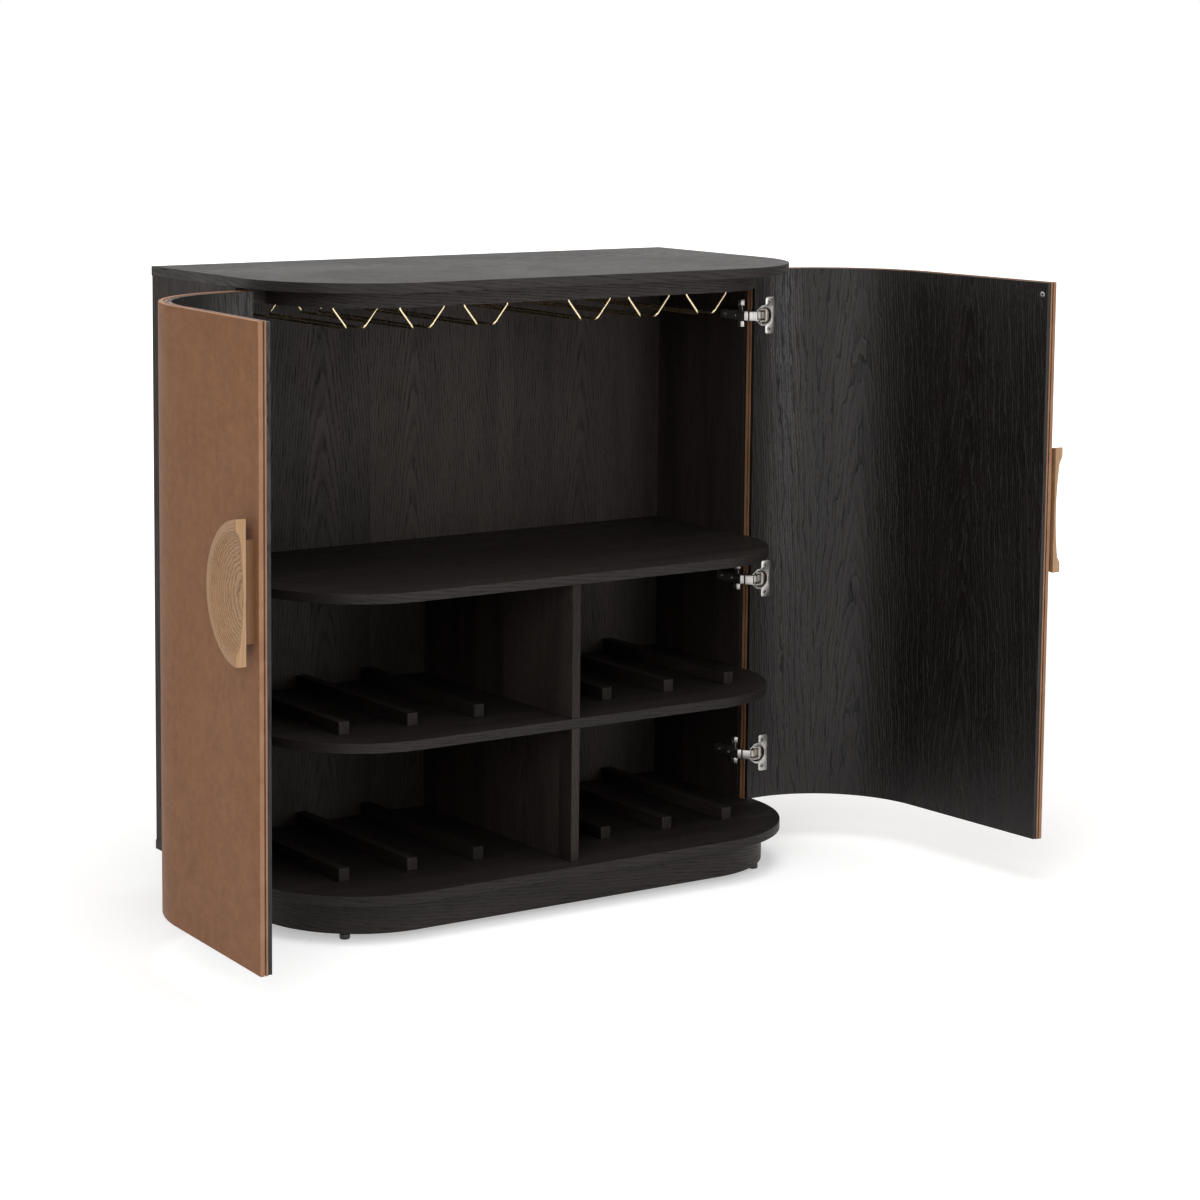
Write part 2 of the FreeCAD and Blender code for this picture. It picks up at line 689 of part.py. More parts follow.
    # Each handle is one side of a disc round the meeting line, dished in front, on a smaller stand-off
    halves = []
    for tag, radius, thick, y, inset in (("handle", "handle_radius", "handle_thick", "stand_y", "handle_x"),
                                         ("stand", "stand_radius", "stand_thick", "door_face_y", "stand_x")):
        half = doc.addObject("Part::Cylinder", "%s_%s_half" % (name, tag))
        half.Angle = 180
        roll = Rotation(Vector(0, 0, 1), 90 if side < 0 else -90)
        half.Placement = Placement(Vector(), Rotation(Vector(1, 0, 0), 90) * roll)
        bind(half, "Placement.Base.y", y)
        bind(half, "Placement.Base.z", "handle_height")
        bind(half, "Radius", radius)
        bind(half, "Height", thick)
        slice_off = side_box("%s_%s_slice" % (name, tag), side,
                             ("0 - cut_overrun", "%s - %s - cut_overrun" % (y, thick),
                              "handle_height - %s - cut_overrun" % radius),
                             (inset + " + cut_overrun", thick + " + 2 * cut_overrun",
                              "2 * (%s + cut_overrun)" % radius))
        halves.append(cut("%s_%s_side" % (name, tag), half, [slice_off]))
    bolts = []
    bites = []
    clears = []
    for j, sign in enumerate("+-"):
        x = mirrored(side, "stand_x + handle_screw_inset")
        z = "handle_height %s handle_screw_span / 2" % sign
        reach = "door_thick + stand_thick + handle_screw_bite"
        shank = rod("%s_bolt_shank_%d" % (name, j), (x, "board_face_y", z), "bolt_radius", reach,
                    (0, -1, 0))
        head = rod("%s_bolt_head_%d" % (name, j), (x, "board_face_y + bolt_head_thick", z),
                   "bolt_head_radius", "bolt_head_thick", (0, -1, 0))
        bolts.append(fuse("%s_bolt_%d" % (name, j), [shank, head]))
        bites.append(rod("%s_bite_%d" % (name, j), (x, "stand_y", z), "bolt_radius + fit_clearance",
                         "handle_screw_bite + fit_clearance", (0, -1, 0)))
        clears.append(rod("%s_clear_%d" % (name, j), (x, "door_face_y + cut_overrun", z),
                          "bolt_radius + fit_clearance", "stand_thick + 2 * cut_overrun", (0, -1, 0)))
    dish = doc.addObject("PartDesign::Body", name + "_dish")
    rim = [("0", "0 - cut_overrun"), ("dish_radius", "0 - cut_overrun"), ("dish_radius", "0"),
           ("dish_step_radius", "dish_step_depth"), ("0", "dish_depth")]
    bowl_arc = {3: ("0", "dish_depth - dish_bend", "dish_bend")}
    profile = outline(dish, name + "_dish_sketch", rim, bowl_arc, "0")
    turned = dish.newObject("PartDesign::Revolution", name + "_dish_turned")
    turned.Profile = profile
    turned.ReferenceAxis = (profile, ["V_Axis"])
    turned.Angle = 360
    bind(dish, "Placement.Base.y", "handle_y")
    bind(dish, "Placement.Base.z", "handle_height")
    hang(name + "_handle", side, cut(name + "_handle_dished", halves[0], [dish] + bites))
    hang(name + "_handle_stand", side, cut(name + "_stand_bored", halves[1], clears))
    hang(name + "_handle_bolts", side, group(name + "_bolt_set", bolts))

    # Round strike disc inside the upper free corner
    hang(name + "_strike_disc", side,
         rod(name + "_strike", (mirrored(side, "meeting_gap / 2 + strike_inset"),
                                "board_face_y + strike_thick", "door_high - strike_drop"),
             "strike_radius", "strike_thick", (0, -1, 0)))

    # Hinge plates on the side panel, and the arms that hook round the door's end to the pins
    plates = []
    plate_screws = []
    arms = []
    for i, level in enumerate(hinge_levels):
        tag = "%s_plate_%d" % (name, i)
        hub_low = "arm_x + arm_gauge / 2"
        hub = side_box(tag + "_hub", side, (hub_low, "plate_y", level + " - plate_hub_width / 2"),
                       ("side_x - (%s)" % hub_low, "plate_length", "plate_hub_width"))
        wing = side_box(tag + "_wing", side,
                        ("side_x - plate_wing_thick", plate_screw_y + " - plate_wing_width / 2",
                         level + " - plate_wing_span / 2"),
                        ("plate_wing_thick", "plate_wing_width", "plate_wing_span"))
        holes = []
        for j, place in enumerate(plate_screw_places(side)[2 * i:2 * i + 2]):
            deep = mirrored(side, "side_x - plate_wing_thick - cut_overrun")
            seat = mirrored(side, "side_x - plate_wing_thick")
            proud = mirrored(side, "side_x - plate_wing_thick - screw_head_thick")
            holes.append(rod("%s_hole_%d" % (tag, j), (deep, place[1], place[2]),
                             "screw_radius + fit_clearance", "plate_wing_thick + 2 * cut_overrun",
                             (side, 0, 0)))
            shank = rod("%s_shank_%d" % (tag, j), (seat, place[1], place[2]), "screw_radius",
                        "screw_length", (side, 0, 0))
            head = rod("%s_head_%d" % (tag, j), (proud, place[1], place[2]), "screw_head_radius",
                       "screw_head_thick", (side, 0, 0))
            plate_screws.append(fuse("%s_screw_%d" % (tag, j), [shank, head]))
        plates.append(cut(tag, fuse(tag + "_blank", [hub, wing]), holes))

        tag = "%s_arm_%d" % (name, i)
        eye_low = level + " - arm_eye_width / 2"
        arm_low = level + " - arm_width / 2"
        eye = rod(tag + "_eye", (mirrored(side, "pin_x"), "pin_y", eye_low), "arm_eye_radius",
                  "arm_eye_width")
        web = doc.addObject("Part::Box", tag + "_web")
        bind(web, "Length", "arm_reach + arm_gauge / 2")
        bind(web, "Width", "arm_gauge")
        bind(web, "Height", "arm_eye_width")
        bind(web, "Placement.Base.z", eye_low)
        angle = "arm_angle * 1 deg" if side > 0 else "180 deg - arm_angle * 1 deg"
        web.Placement.Rotation = Rotation(Vector(0, 0, 1), num("arm_angle"))
        bind(web, "Placement.Rotation.Angle", angle)
        turn_cos = "cos(%s)" % angle
        turn_sin = "sin(%s)" % angle
        bind(web, "Placement.Base.x", mirrored(side, "pin_x") + " + arm_gauge / 2 * " + turn_sin)
        bind(web, "Placement.Base.y", "pin_y - arm_gauge / 2 * " + turn_cos)
        hook_out = rod(tag + "_hook_out", (mirrored(side, "pin_x"), "pin_y", arm_low),
                       "arm_reach + arm_gauge / 2", "arm_width")
        hook_in = rod(tag + "_hook_in", (mirrored(side, "pin_x"), "pin_y", arm_low + " - cut_overrun"),
                      "arm_reach - arm_gauge / 2", "arm_width + 2 * cut_overrun")
        start = "180 deg" if side > 0 else "180 deg - arm_angle * 1 deg"
        for part in (hook_out, hook_in):
            bind(part, "Angle", "arm_angle * 1 deg - 180 deg")
            part.Placement.Rotation = Rotation(Vector(0, 0, 1), 180)
            bind(part, "Placement.Rotation.Angle", start)
        hook = cut(tag + "_hook", hook_out, [hook_in])
        tongue = side_box(tag + "_tongue", side, ("arm_x - arm_gauge / 2", "pin_y", arm_low),
                          ("arm_gauge", "arm_length", "arm_width"))
        blank = fuse(tag + "_blank", [eye, web, hook, tongue])
        bore = rod(tag + "_bore", (mirrored(side, "pin_x"), "pin_y", eye_low + " - cut_overrun"),
                   "pin_radius + pin_clearance", "arm_eye_width + 2 * cut_overrun")
        arms.append(cut(tag, blank, [bore]))
    stand(name + "_hinge_plates", group(name + "_plates", plates))
    stand(name + "_plate_screws", group(name + "_plate_screw_set", plate_screws))
    stand(name + "_hinge_arms", group(name + "_arms", arms))

doc.recompute()

# Every object has to be sound before anything is written
for obj in doc.Objects:
    if "Invalid" in obj.State or "Error" in obj.State:
        raise RuntimeError("%s failed: %s" % (obj.Name, obj.State))
for part in parts:
    if part.Shape.isNull() or not part.Shape.isValid() or not part.Shape.Solids:
        raise RuntimeError("%s has no sound shape" % part.Label)

os.makedirs("parts", exist_ok=True)
for part in parts:
    part.Shape.exportStep("parts/%s.step" % part.Label)
    low = part.Shape.BoundBox
    print("%-24s solids %2d  volume %10.0f  z %7.1f to %7.1f"
          % (part.Label, len(part.Shape.Solids), part.Shape.Volume, low.ZMin, low.ZMax))
print("pieces", len(parts), "plan shift", round(num("plan_shift"), 3))
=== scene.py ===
import bpy
import bmesh
import json
import math
from mathutils import Matrix, Vector

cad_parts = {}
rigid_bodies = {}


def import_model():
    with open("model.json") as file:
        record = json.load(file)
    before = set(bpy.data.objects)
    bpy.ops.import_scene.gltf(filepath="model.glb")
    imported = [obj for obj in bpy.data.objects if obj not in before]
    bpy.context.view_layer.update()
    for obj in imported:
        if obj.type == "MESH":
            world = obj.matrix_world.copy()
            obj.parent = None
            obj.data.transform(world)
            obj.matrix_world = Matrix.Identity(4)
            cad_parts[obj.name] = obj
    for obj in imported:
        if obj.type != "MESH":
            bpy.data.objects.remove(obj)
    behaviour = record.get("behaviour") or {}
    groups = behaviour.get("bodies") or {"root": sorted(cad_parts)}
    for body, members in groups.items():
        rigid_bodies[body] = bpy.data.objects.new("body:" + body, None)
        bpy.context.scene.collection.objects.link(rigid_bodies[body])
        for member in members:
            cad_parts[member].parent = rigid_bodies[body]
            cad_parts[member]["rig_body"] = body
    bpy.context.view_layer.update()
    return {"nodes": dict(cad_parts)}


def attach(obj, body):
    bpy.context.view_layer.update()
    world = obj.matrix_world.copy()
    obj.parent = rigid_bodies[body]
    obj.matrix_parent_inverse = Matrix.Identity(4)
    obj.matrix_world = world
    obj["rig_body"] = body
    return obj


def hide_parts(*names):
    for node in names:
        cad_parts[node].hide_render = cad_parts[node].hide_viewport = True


for spare in list(bpy.data.objects):  # whatever the start-up file brought
    bpy.data.objects.remove(spare)

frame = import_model()
nodes = frame["nodes"]
scene = bpy.context.scene
scene.view_settings.view_transform = "Standard"
print("frame loaded:", len(nodes), "nodes")


def setAll(thing, **values):
    for name, value in values.items():
        setattr(thing, name, value)
    return thing


def addObject(name, data):
    thing = bpy.data.objects.new(name, data)
    scene.collection.objects.link(thing)
    return thing


def at(x, y, z):
    return Matrix.Translation((x, y, z))


def spin(degrees, axis="Z"):
    return Matrix.Rotation(math.radians(degrees), 4, axis)


# the cabinet's own plan, in metres, doors shut, middle of the carcass at y = 0

plan = {
    "shift": 0.137781,  # the frame's y is this much further back
    "arcX": 0.305,
    "arcY": -0.045,
    "arcRadius": 0.220,
    "pinX": 0.514,
    "pinY": -0.041,
    "openAngle": 93.3,
    "hingeLevels": (0.959, 0.4855, 0.1665),
}
sides = (("left", -1), ("right", 1))
carcassMatrix = at(0, plan["shift"], 0)


def doorMatrix(side, case=carcassMatrix):
    # takes a point of the shut door, in the cabinet's plan, to where the open door has it
    x, y = side * plan["pinX"], plan["pinY"]
    return case @ at(x, y, 0) @ spin(side * plan["openAngle"]) @ at(-x, -y, 0)


def planRun(x, y):
    # length along the rounded front from its middle, distance from the corner's centre, and the way out
    ax, sign = abs(x), (1 if x >= 0 else -1)
    cx, cy, r = plan["arcX"], plan["arcY"], plan["arcRadius"]
    if y >= cy:
        return sign * (cx + r * math.pi / 2 + y - cy), ax - cx, Vector((sign, 0, 0))
    if ax <= cx:
        return x, cy - y, Vector((0, -1, 0))
    angle = math.atan2(ax - cx, cy - y)
    out = Vector((sign * math.sin(angle), -math.cos(angle), 0))
    return sign * (cx + r * angle), math.hypot(ax - cx, y - cy), out


# camera where the photograph was taken from

viewPoint = {
    "at": (-2.9143, -4.2983, 1.4334),
    "turn": -33.0,
    "dip": 7.0433,
    "roll": 0.3047,
    "optics": {"lens": 94.13, "sensor_width": 36, "shift_x": 0.09745, "shift_y": -0.1397},
}


def placeCamera():
    scene.camera = addObject("photoCamera", setAll(bpy.data.cameras.new("photoCamera"), **viewPoint["optics"]))
    look = spin(viewPoint["turn"]) @ spin(90 - viewPoint["dip"], "X") @ spin(viewPoint["roll"])
    scene.camera.matrix_world = at(*viewPoint["at"]) @ look


placeCamera()
print("camera placed")


# node trees: a Flow is a socket that sums can be written with

def feed(tree, value, socket):
    # a tone can go by its name among the finishes
    if isinstance(value, Flow):
        tree.links.new(value.socket, socket)
    elif socket.type == "RGBA":
        socket.default_value = tuple(finish[value] if isinstance(value, str) else value) + (1,)
    else:
        socket.default_value = value


def made(tree, kind, inputs=(), output=0, **settings):
    # the output of a new node, whose inputs go by number or name
    node = setAll(tree.nodes.new("ShaderNode" + kind), **settings)
    for key, value in dict(inputs).items():
        feed(tree, value, node.inputs[key])
    return Flow(tree, node.outputs[output])


class Flow:
    def __init__(self, tree, socket):
        self.tree, self.socket = tree, socket

    def calc(self, operation, *others, clamp=False):
        return made(self.tree, "Math", enumerate((self,) + others), operation=operation, use_clamp=clamp)

    def __add__(self, other):
        return self.calc("ADD", other)

    def __sub__(self, other):
        return self.calc("SUBTRACT", other)

    def __mul__(self, other):
        return self.calc("MULTIPLY", other)

    def scaled(self, share, plus):
        return self.calc("MULTIPLY_ADD", share, plus)

    def most(self, other):
        return self.calc("MAXIMUM", other)

    def ramp(self, low=0.3, high=0.7, newLow=0.0, newHigh=1.0, smooth=False):
        # left as it is, it spreads a noise's usual values over 0 to 1
        return made(self.tree, "MapRange", enumerate((self, low, high, newLow, newHigh)),
                    interpolation_type="SMOOTHSTEP" if smooth else "LINEAR")

    def parts(self):
        node = made(self.tree, "SeparateXYZ", {0: self}).socket.node
        return [Flow(self.tree, socket) for socket in node.outputs]


def vectorOf(x, y, z):
    return made(x.tree, "CombineXYZ", enumerate((x, y, z)))


def cloud(vector, scale=1.0, detail=2.0, rough=0.5, distortion=0.0):
    return made(vector.tree, "TexNoise", {"Vector": vector, "Scale": scale, "Detail": detail, "Roughness": rough,
                                          "Distortion": distortion})


def ringLine(saw, fade, lead):
    # a dark line once in each turn of the saw, quick to come and slow to go
    return saw.ramp(0.0, fade, 1.0, 0.0, smooth=True).most(saw.ramp(lead, 1.0, smooth=True))


def mixTone(factor, a, b):
    return made(factor.tree, "Mix", {0: factor, 6: a, 7: b}, 2, data_type="RGBA")


def coated(body, *coats):
    # each coat is a mask and the tone it brings
    for mask, tone in coats:
        body = mixTone(mask, body, tone)
    return body


def raised(height, strength, distance):
    return made(height.tree, "Bump", {"Strength": strength, "Distance": distance, "Height": height})


def spaced(values):
    return {name.replace("_", " "): value for name, value in values.items()}


def newGroup(name, inputs, outputs):
    # an input that starts at None is a vector
    group = bpy.data.node_groups.new(name, "ShaderNodeTree")
    for label, value in inputs.items():
        kind = "NodeSocketVector" if value is None else "NodeSocketFloat"
        socket = group.interface.new_socket(label, in_out="INPUT", socket_type=kind)
        if value is not None:
            socket.default_value = value
    for label in outputs:
        group.interface.new_socket(label, in_out="OUTPUT", socket_type="NodeSocketFloat")
    start = group.nodes.new("NodeGroupInput")
    return group, {socket.name: Flow(group, socket) for socket in start.outputs}


def giveOut(group, **values):
    end = group.nodes.new("NodeGroupOutput")
    for name, value in values.items():
        feed(group, value, end.inputs[name])
    return group


def useGroup(group, vector, **values):
    node = made(vector.tree, "Group", {"Vector": vector, **spaced(values)}, node_tree=group).socket.node
    return {socket.name: Flow(vector.tree, socket) for socket in node.outputs}


def newMaterial(name):
    # the material, and each point's place on its object
    material = setAll(bpy.data.materials.new(name), use_nodes=True)
    return material, made(material.node_tree, "TexCoord", output="Object")


def shaded(material, **values):
    tree = material.node_tree
    for label, value in spaced(values).items():
        feed(tree, value, tree.nodes["Principled BSDF"].inputs[label])
    return material


def grainUv(material):
    return made(material.node_tree, "UVMap", uv_map="grain")


def stored(material, name):
    return made(material.node_tree, "Attribute", output="Fac", attribute_name=name)


# floor and lamps

studio = {
    "white": (1, 1, 1),
    "floorTone": (0.86, 0.86, 0.86),
    "floorRough": 0.9,
    "floorSize": 30,
    "floorCells": 8,
    "floorGlow": 0.42,  # near the cabinet, rising to plain white further off
    "glowFrom": 1.3,
    "glowTo": 4.5,
    "fill": 0.46,
    "fillTone": (1.0, 0.985, 0.97),
    "lamps": (
        # name, place, aimed at, size, watts
        ("overhead", (-0.3, -0.6, 3.3), (0, 0.1, 0.6), 2.6, 56),
        ("frontLeft", (-3.4, -3.2, 2.3), (0, 0, 0.6), 2.4, 66),
        ("frontRight", (1.35, -3.9, 0.8), (0.2, 0, 0.6), 1.4, 26),
    ),
}


def showsBackdrop(tree):
    seen, mirrored, through = (made(tree, "LightPath", output="Is %s Ray" % kind)
                               for kind in ("Camera", "Glossy", "Transmission"))
    return seen.most(mirrored).most(through)


def meshOf(bm, name):
    mesh = bpy.data.meshes.new(name)
    bm.to_mesh(mesh)
    bm.free()
    return mesh


def buildWorld():
    world = bpy.data.worlds.new("studioWorld")
    scene.world = world
    world.use_nodes = True
    tree = world.node_tree
    tree.nodes.clear()
    bright = made(tree, "Background", {"Color": studio["white"]})
    soft = made(tree, "Background", {"Color": studio["fillTone"], "Strength": studio["fill"]})
    mix = made(tree, "MixShader", {0: showsBackdrop(tree), 1: soft, 2: bright})
    feed(tree, mix, tree.nodes.new("ShaderNodeOutputWorld").inputs["Surface"])


def buildFloor():
    bm = bmesh.new()
    cells = studio["floorCells"]
    bmesh.ops.create_grid(bm, x_segments=cells, y_segments=cells, size=studio["floorSize"])
    mesh = meshOf(bm, "studioFloor")
    floor = addObject("studioFloor", mesh)
    material = setAll(bpy.data.materials.new("paleFloor"), use_nodes=True)
    tree = material.node_tree
    spot = made(tree, "NewGeometry", output="Position")
    far = made(tree, "VectorMath", {0: spot}, "Value", operation="LENGTH")
    glow = far.ramp(studio["glowFrom"], studio["glowTo"], studio["floorGlow"], smooth=True)
    mesh.materials.append(shaded(
        material, Base_Color=studio["floorTone"], Roughness=studio["floorRough"],
        Emission_Color=studio["white"], Emission_Strength=showsBackdrop(tree) * glow))


def placeLamps():
    for name, place, aim, size, watts in studio["lamps"]:
        data = setAll(bpy.data.lights.new(name, "AREA"), shape="DISK", size=size, energy=watts)
        lamp = addObject(name, data)
        lamp.location = place
        lamp.rotation_euler = (Vector(aim) - Vector(place)).to_track_quat("-Z", "Y").to_euler()


buildWorld()
buildFloor()
placeLamps()
print("floor and lamps placed")


# node groups shared by the finishes

oakStreaks = {
    # scale across the grain and along it, detail and roughness of each noise
    "slow": (9.0, 2.2, 3.0, 0.55),
    "jitter": (70.0, 6.0, 3.0, 0.6),
    "wander": (24.0, 7.0, 3.0, 0.6),
    "broken": (60.0, 16.0, 2.0, 0.6),
    "speck": (1400.0, 75.0, 2.0, 0.6),
    "vessel": (330.0, 17.0, 3.0, 0.6),
    "fibre": (900.0, 14.0, 3.0, 0.65),
    "tone": (26.0, 2.5, 2.0, 0.5),
}


def makeOakFigure():
    # plain-sawn oak: leaf after leaf of nested arches, with open pores along the rings
    group, get = newGroup("oakFigure", {
        "Vector": None, "Leaf Width": 0.28, "Ring Count": 210.0, "Arch Count": 16.0, "Waviness": 0.02,
        "Coarse": 0.35}, ("Rings", "Pores", "Fibre", "Tone"))
    u, v, w = get["Vector"].parts()
    share = u.calc("DIVIDE", get["Leaf Width"])
    leaf = share.calc("FLOOR")
    chance = made(group, "TexWhiteNoise", {"Vector": vectorOf(leaf, w, 0.0)}, "Color", noise_dimensions="2D")
    offset, start, width = chance.parts()
    along = v + start * 5.0

    def streaks(name, way=v):
        acrossScale, alongScale, detail, rough = oakStreaks[name]
        return cloud(vectorOf(u * acrossScale, way * alongScale, leaf), detail=detail, rough=rough)

    # distance from the leaf's heart line, and the hyperbola that a cut through the cone of a ring makes
    sway = (streaks("slow", along) - 0.5) * get["Waviness"]
    across = (share - leaf - 0.5 + (offset - 0.5) * 0.5) * get["Leaf Width"] + sway
    core = width.scaled(0.03, 0.012)
    bow = (across * across + core * core).calc("SQRT")
    phase = bow * get["Ring Count"] + along * get["Arch Count"] + streaks("jitter", along) * 1.1
    rings = ringLine(phase.calc("FRACT"), 0.55, 0.88)
    # every third ring or so opens into a coarse, wandering line
    coarse = streaks("wander", along).scaled(2.6, phase * 0.36).calc("FRACT")
    coarse = ringLine(coarse, 0.26, 0.95) * streaks("broken").ramp(0.38, 0.6, 0.25) * get["Coarse"]
    rings = (rings * 0.6).most(coarse)
    pores = streaks("speck").ramp(0.53, 0.64, smooth=True).most(streaks("vessel").ramp(0.53, 0.63, smooth=True))
    pores = pores * rings.scaled(0.85, 0.15)
    return giveOut(group, Rings=rings, Pores=pores.most(coarse * 0.7), Fibre=streaks("fibre"),
                   Tone=streaks("tone") * 0.7 + offset * 0.3)


def makeEdgeWear():
    # finds corners by rounding them in the shading, broken up so that the rub is uneven
    group, get = newGroup("edgeWear", {"Radius": 0.002, "Reach": 1.0, "Vector": None}, ("Mask",))
    rounded = made(group, "Bevel", {"Radius": get["Radius"]}, samples=4)
    normal = made(group, "NewGeometry", output="Normal")
    bend = made(group, "VectorMath", {0: rounded, 1: normal}, "Value", operation="DOT_PRODUCT").ramp(0.995, 0.80)
    patch = cloud(get["Vector"], scale=60.0, detail=4.0, rough=0.65).ramp(0.38, 0.62)
    return giveOut(group, Mask=(bend * patch).calc("MULTIPLY", get["Reach"], clamp=True))


def makeHandling():
    # faint wipe marks and settled dust, only as a change of gloss and a breath of grey
    group, get = newGroup("handling", {"Vector": None, "Scale": 4.0}, ("Smudge", "Dust"))
    broad = cloud(get["Vector"], get["Scale"], detail=5.0, rough=0.6, distortion=0.6)
    fine = cloud(get["Vector"], scale=520.0, rough=0.7)
    upward = made(group, "NewGeometry", output="Normal").parts()[2].ramp(0.75, 1.0)
    return giveOut(group, Smudge=broad.ramp(0.35, 0.68, smooth=True), Dust=upward * fine.ramp(0.5, 0.75))


def makeMetalWear():
    # rolling lines along one direction and small pits, for plated steel and brass
    group, get = newGroup("metalWear", {"Vector": None, "Line Scale": 2500.0}, ("Lines", "Pits", "Cloud"))
    place, lines = get["Vector"], get["Line Scale"]
    x, y, z = place.parts()
    drawn = vectorOf(x * lines, y * (lines * 0.03), z * lines)
    return giveOut(group, Lines=cloud(drawn, rough=0.6), Cloud=cloud(place, scale=140.0, detail=3.0, rough=0.6),
                   Pits=cloud(place, scale=1600.0).ramp(0.62, 0.72, smooth=True))


def makeHideGrain():
    # finished leather: fine creased cells with a soft mottle
    group, get = newGroup("hideGrain", {"Vector": None, "Cell Scale": 620.0}, ("Creases", "Mottle", "Streak"))
    place = get["Vector"]
    wobble = made(group, "TexNoise", {"Vector": place, "Scale": 300.0}, "Color")
    reach = (0.0016, 0.0016, 0.0016)
    nudged = made(group, "VectorMath", {0: wobble, 1: reach, 2: place}, operation="MULTIPLY_ADD")
    net = made(group, "TexVoronoi", {"Vector": nudged, "Scale": get["Cell Scale"]}, "Distance",
               feature="DISTANCE_TO_EDGE")
    x, y, z = place.parts()
    drawn = vectorOf(x * 120.0, y * 120.0, z * 7.0)
    creases = net.ramp(0.0, 0.22, 1.0, 0.0, smooth=True)
    return giveOut(group, Creases=creases, Streak=cloud(drawn, detail=4.0, rough=0.6),
                   Mottle=cloud(place, scale=22.0, detail=5.0, rough=0.62, distortion=0.4))


oakFigure = makeOakFigure()
edgeWear = makeEdgeWear()
handling = makeHandling()
metalWear = makeMetalWear()
hideGrain = makeHideGrain()
print("shared node groups made")


# finishes

finish = {
    "blackDark": (0.0098, 0.0071, 0.0061),
    "blackLight": (0.0395, 0.0300, 0.0264),
    "blackPore": (0.0020, 0.0014, 0.0012),
    "blackRub": (0.05, 0.044, 0.039),
    "blackDust": (0.06, 0.058, 0.055),
    "leather": (0.240, 0.107, 0.047),
    "leatherDeep": (0.184, 0.078, 0.033),
    "leatherPale": (0.288, 0.136, 0.064),
    "leatherCut": (0.335, 0.184, 0.100),
    # the leather's groove, darkened as painted shade
    "grooveShade": (0.055, 0.022, 0.011),
    "oakEarly": (0.265, 0.140, 0.064),
    "oakLate": (0.375, 0.213, 0.104),
    "oakPore": (0.105, 0.050, 0.022),
    "oakRub": (0.50, 0.315, 0.175),
    "oakCarved": (0.40, 0.232, 0.116),
    # the stand-offs' oak, darker than the handles' as painted shade under the handle
    "standEarlyShaded": (0.082, 0.035, 0.013),
    "standLateShaded": (0.150, 0.067, 0.026),
    "plasticDark": (0.010, 0.010, 0.0105),
    "plasticLight": (0.022, 0.022, 0.022),
    "plasticRub": (0.07, 0.07, 0.07),
    "plasticDust": (0.1, 0.098, 0.095),
}
blackOaks = {
    # material's name, roughness, mirror, depth, width of a leaf, rings and arches per metre, coarse lines; the
    # depths differ between copies as painted light and shade on each set of boards
    "blackOak": ("blackOak", 0.43, 0.24, 0.68, 0.28, 210.0, 16.0, 0.35),
    "shelfOak": ("shelfOak", 0.45, 0.2, 0.6, 0.28, 210.0, 16.0, 0.35),
    "innerOak": ("innerOak", 0.46, 0.21, 1.05, 0.30, 190.0, 15.0, 0.2),
    "sideOak": ("sideOak", 0.48, 0.13, 0.85, 0.30, 190.0, 15.0, 0.25),
    "doorOak": ("doorVeneer", 0.29, 0.33, 0.38, 0.26, 200.0, 12.0, 1.3),
}
metals = {
    # material's name, bright tone, shaded tone, roughness
    "nickel": ("satinNickel", (0.50, 0.482, 0.458), (0.29, 0.277, 0.26), 0.27),
    "screw": ("screwNickel", (0.50, 0.485, 0.46), (0.27, 0.26, 0.25), 0.30),
    "cupSteel": ("cupSteel", (0.40, 0.365, 0.33), (0.22, 0.20, 0.18), 0.34),
    "linkSteel": ("linkSteel", (0.52, 0.485, 0.445), (0.34, 0.315, 0.285), 0.40),
    # dark steel of the socket bolts; on the screws it is painted shade in the cross recesses
    "darkSteelAndRecessShade": ("darkSteelAndRecessShade", (0.035, 0.034, 0.033), (0.014, 0.0135, 0.013), 0.42),
    "brass": ("brushedBrass", (0.72, 0.60, 0.39), (0.50, 0.39, 0.22), 0.20),
    "strike": ("strikeSteel", (0.62, 0.62, 0.61), (0.42, 0.42, 0.41), 0.30),
}


def makeBlackOak(name, gloss, mirror, depth, leafWidth, ringCount, archCount, coarse):
    # depth scales the stain's colour, and its value in each copy is painted light and shade
    material, place = newMaterial(name)
    dark, light, pore = (tuple(c * depth for c in finish[k]) for k in ("blackDark", "blackLight", "blackPore"))
    grain = useGroup(oakFigure, grainUv(material), Leaf_Width=leafWidth, Ring_Count=ringCount,
                     Arch_Count=archCount, Coarse=coarse)
    marks = useGroup(handling, place)
    wear = useGroup(edgeWear, place, Radius=0.0016, Reach=0.8)
    body = coated(
        mixTone(grain["Tone"].ramp(), dark, light),
        (grain["Rings"] * 0.6, dark),
        (grain["Fibre"].ramp(0.35, 0.75, 0.0, 0.35), light),
        (grain["Pores"] * 0.9, pore),
        (wear["Mask"] * 0.7, "blackRub"),
        (marks["Dust"] * 0.12, "blackDust"))
    rough = grain["Rings"] * 0.10 + gloss + grain["Pores"] * 0.35
    height = grain["Fibre"] * 0.25 - grain["Pores"] * 0.9 - grain["Rings"] * 0.55
    return shaded(material, Base_Color=body, Roughness=rough.calc("ADD", marks["Smudge"] * 0.07, clamp=True),
                  Specular_IOR_Level=mirror, Normal=raised(height, strength=0.75, distance=0.0005))


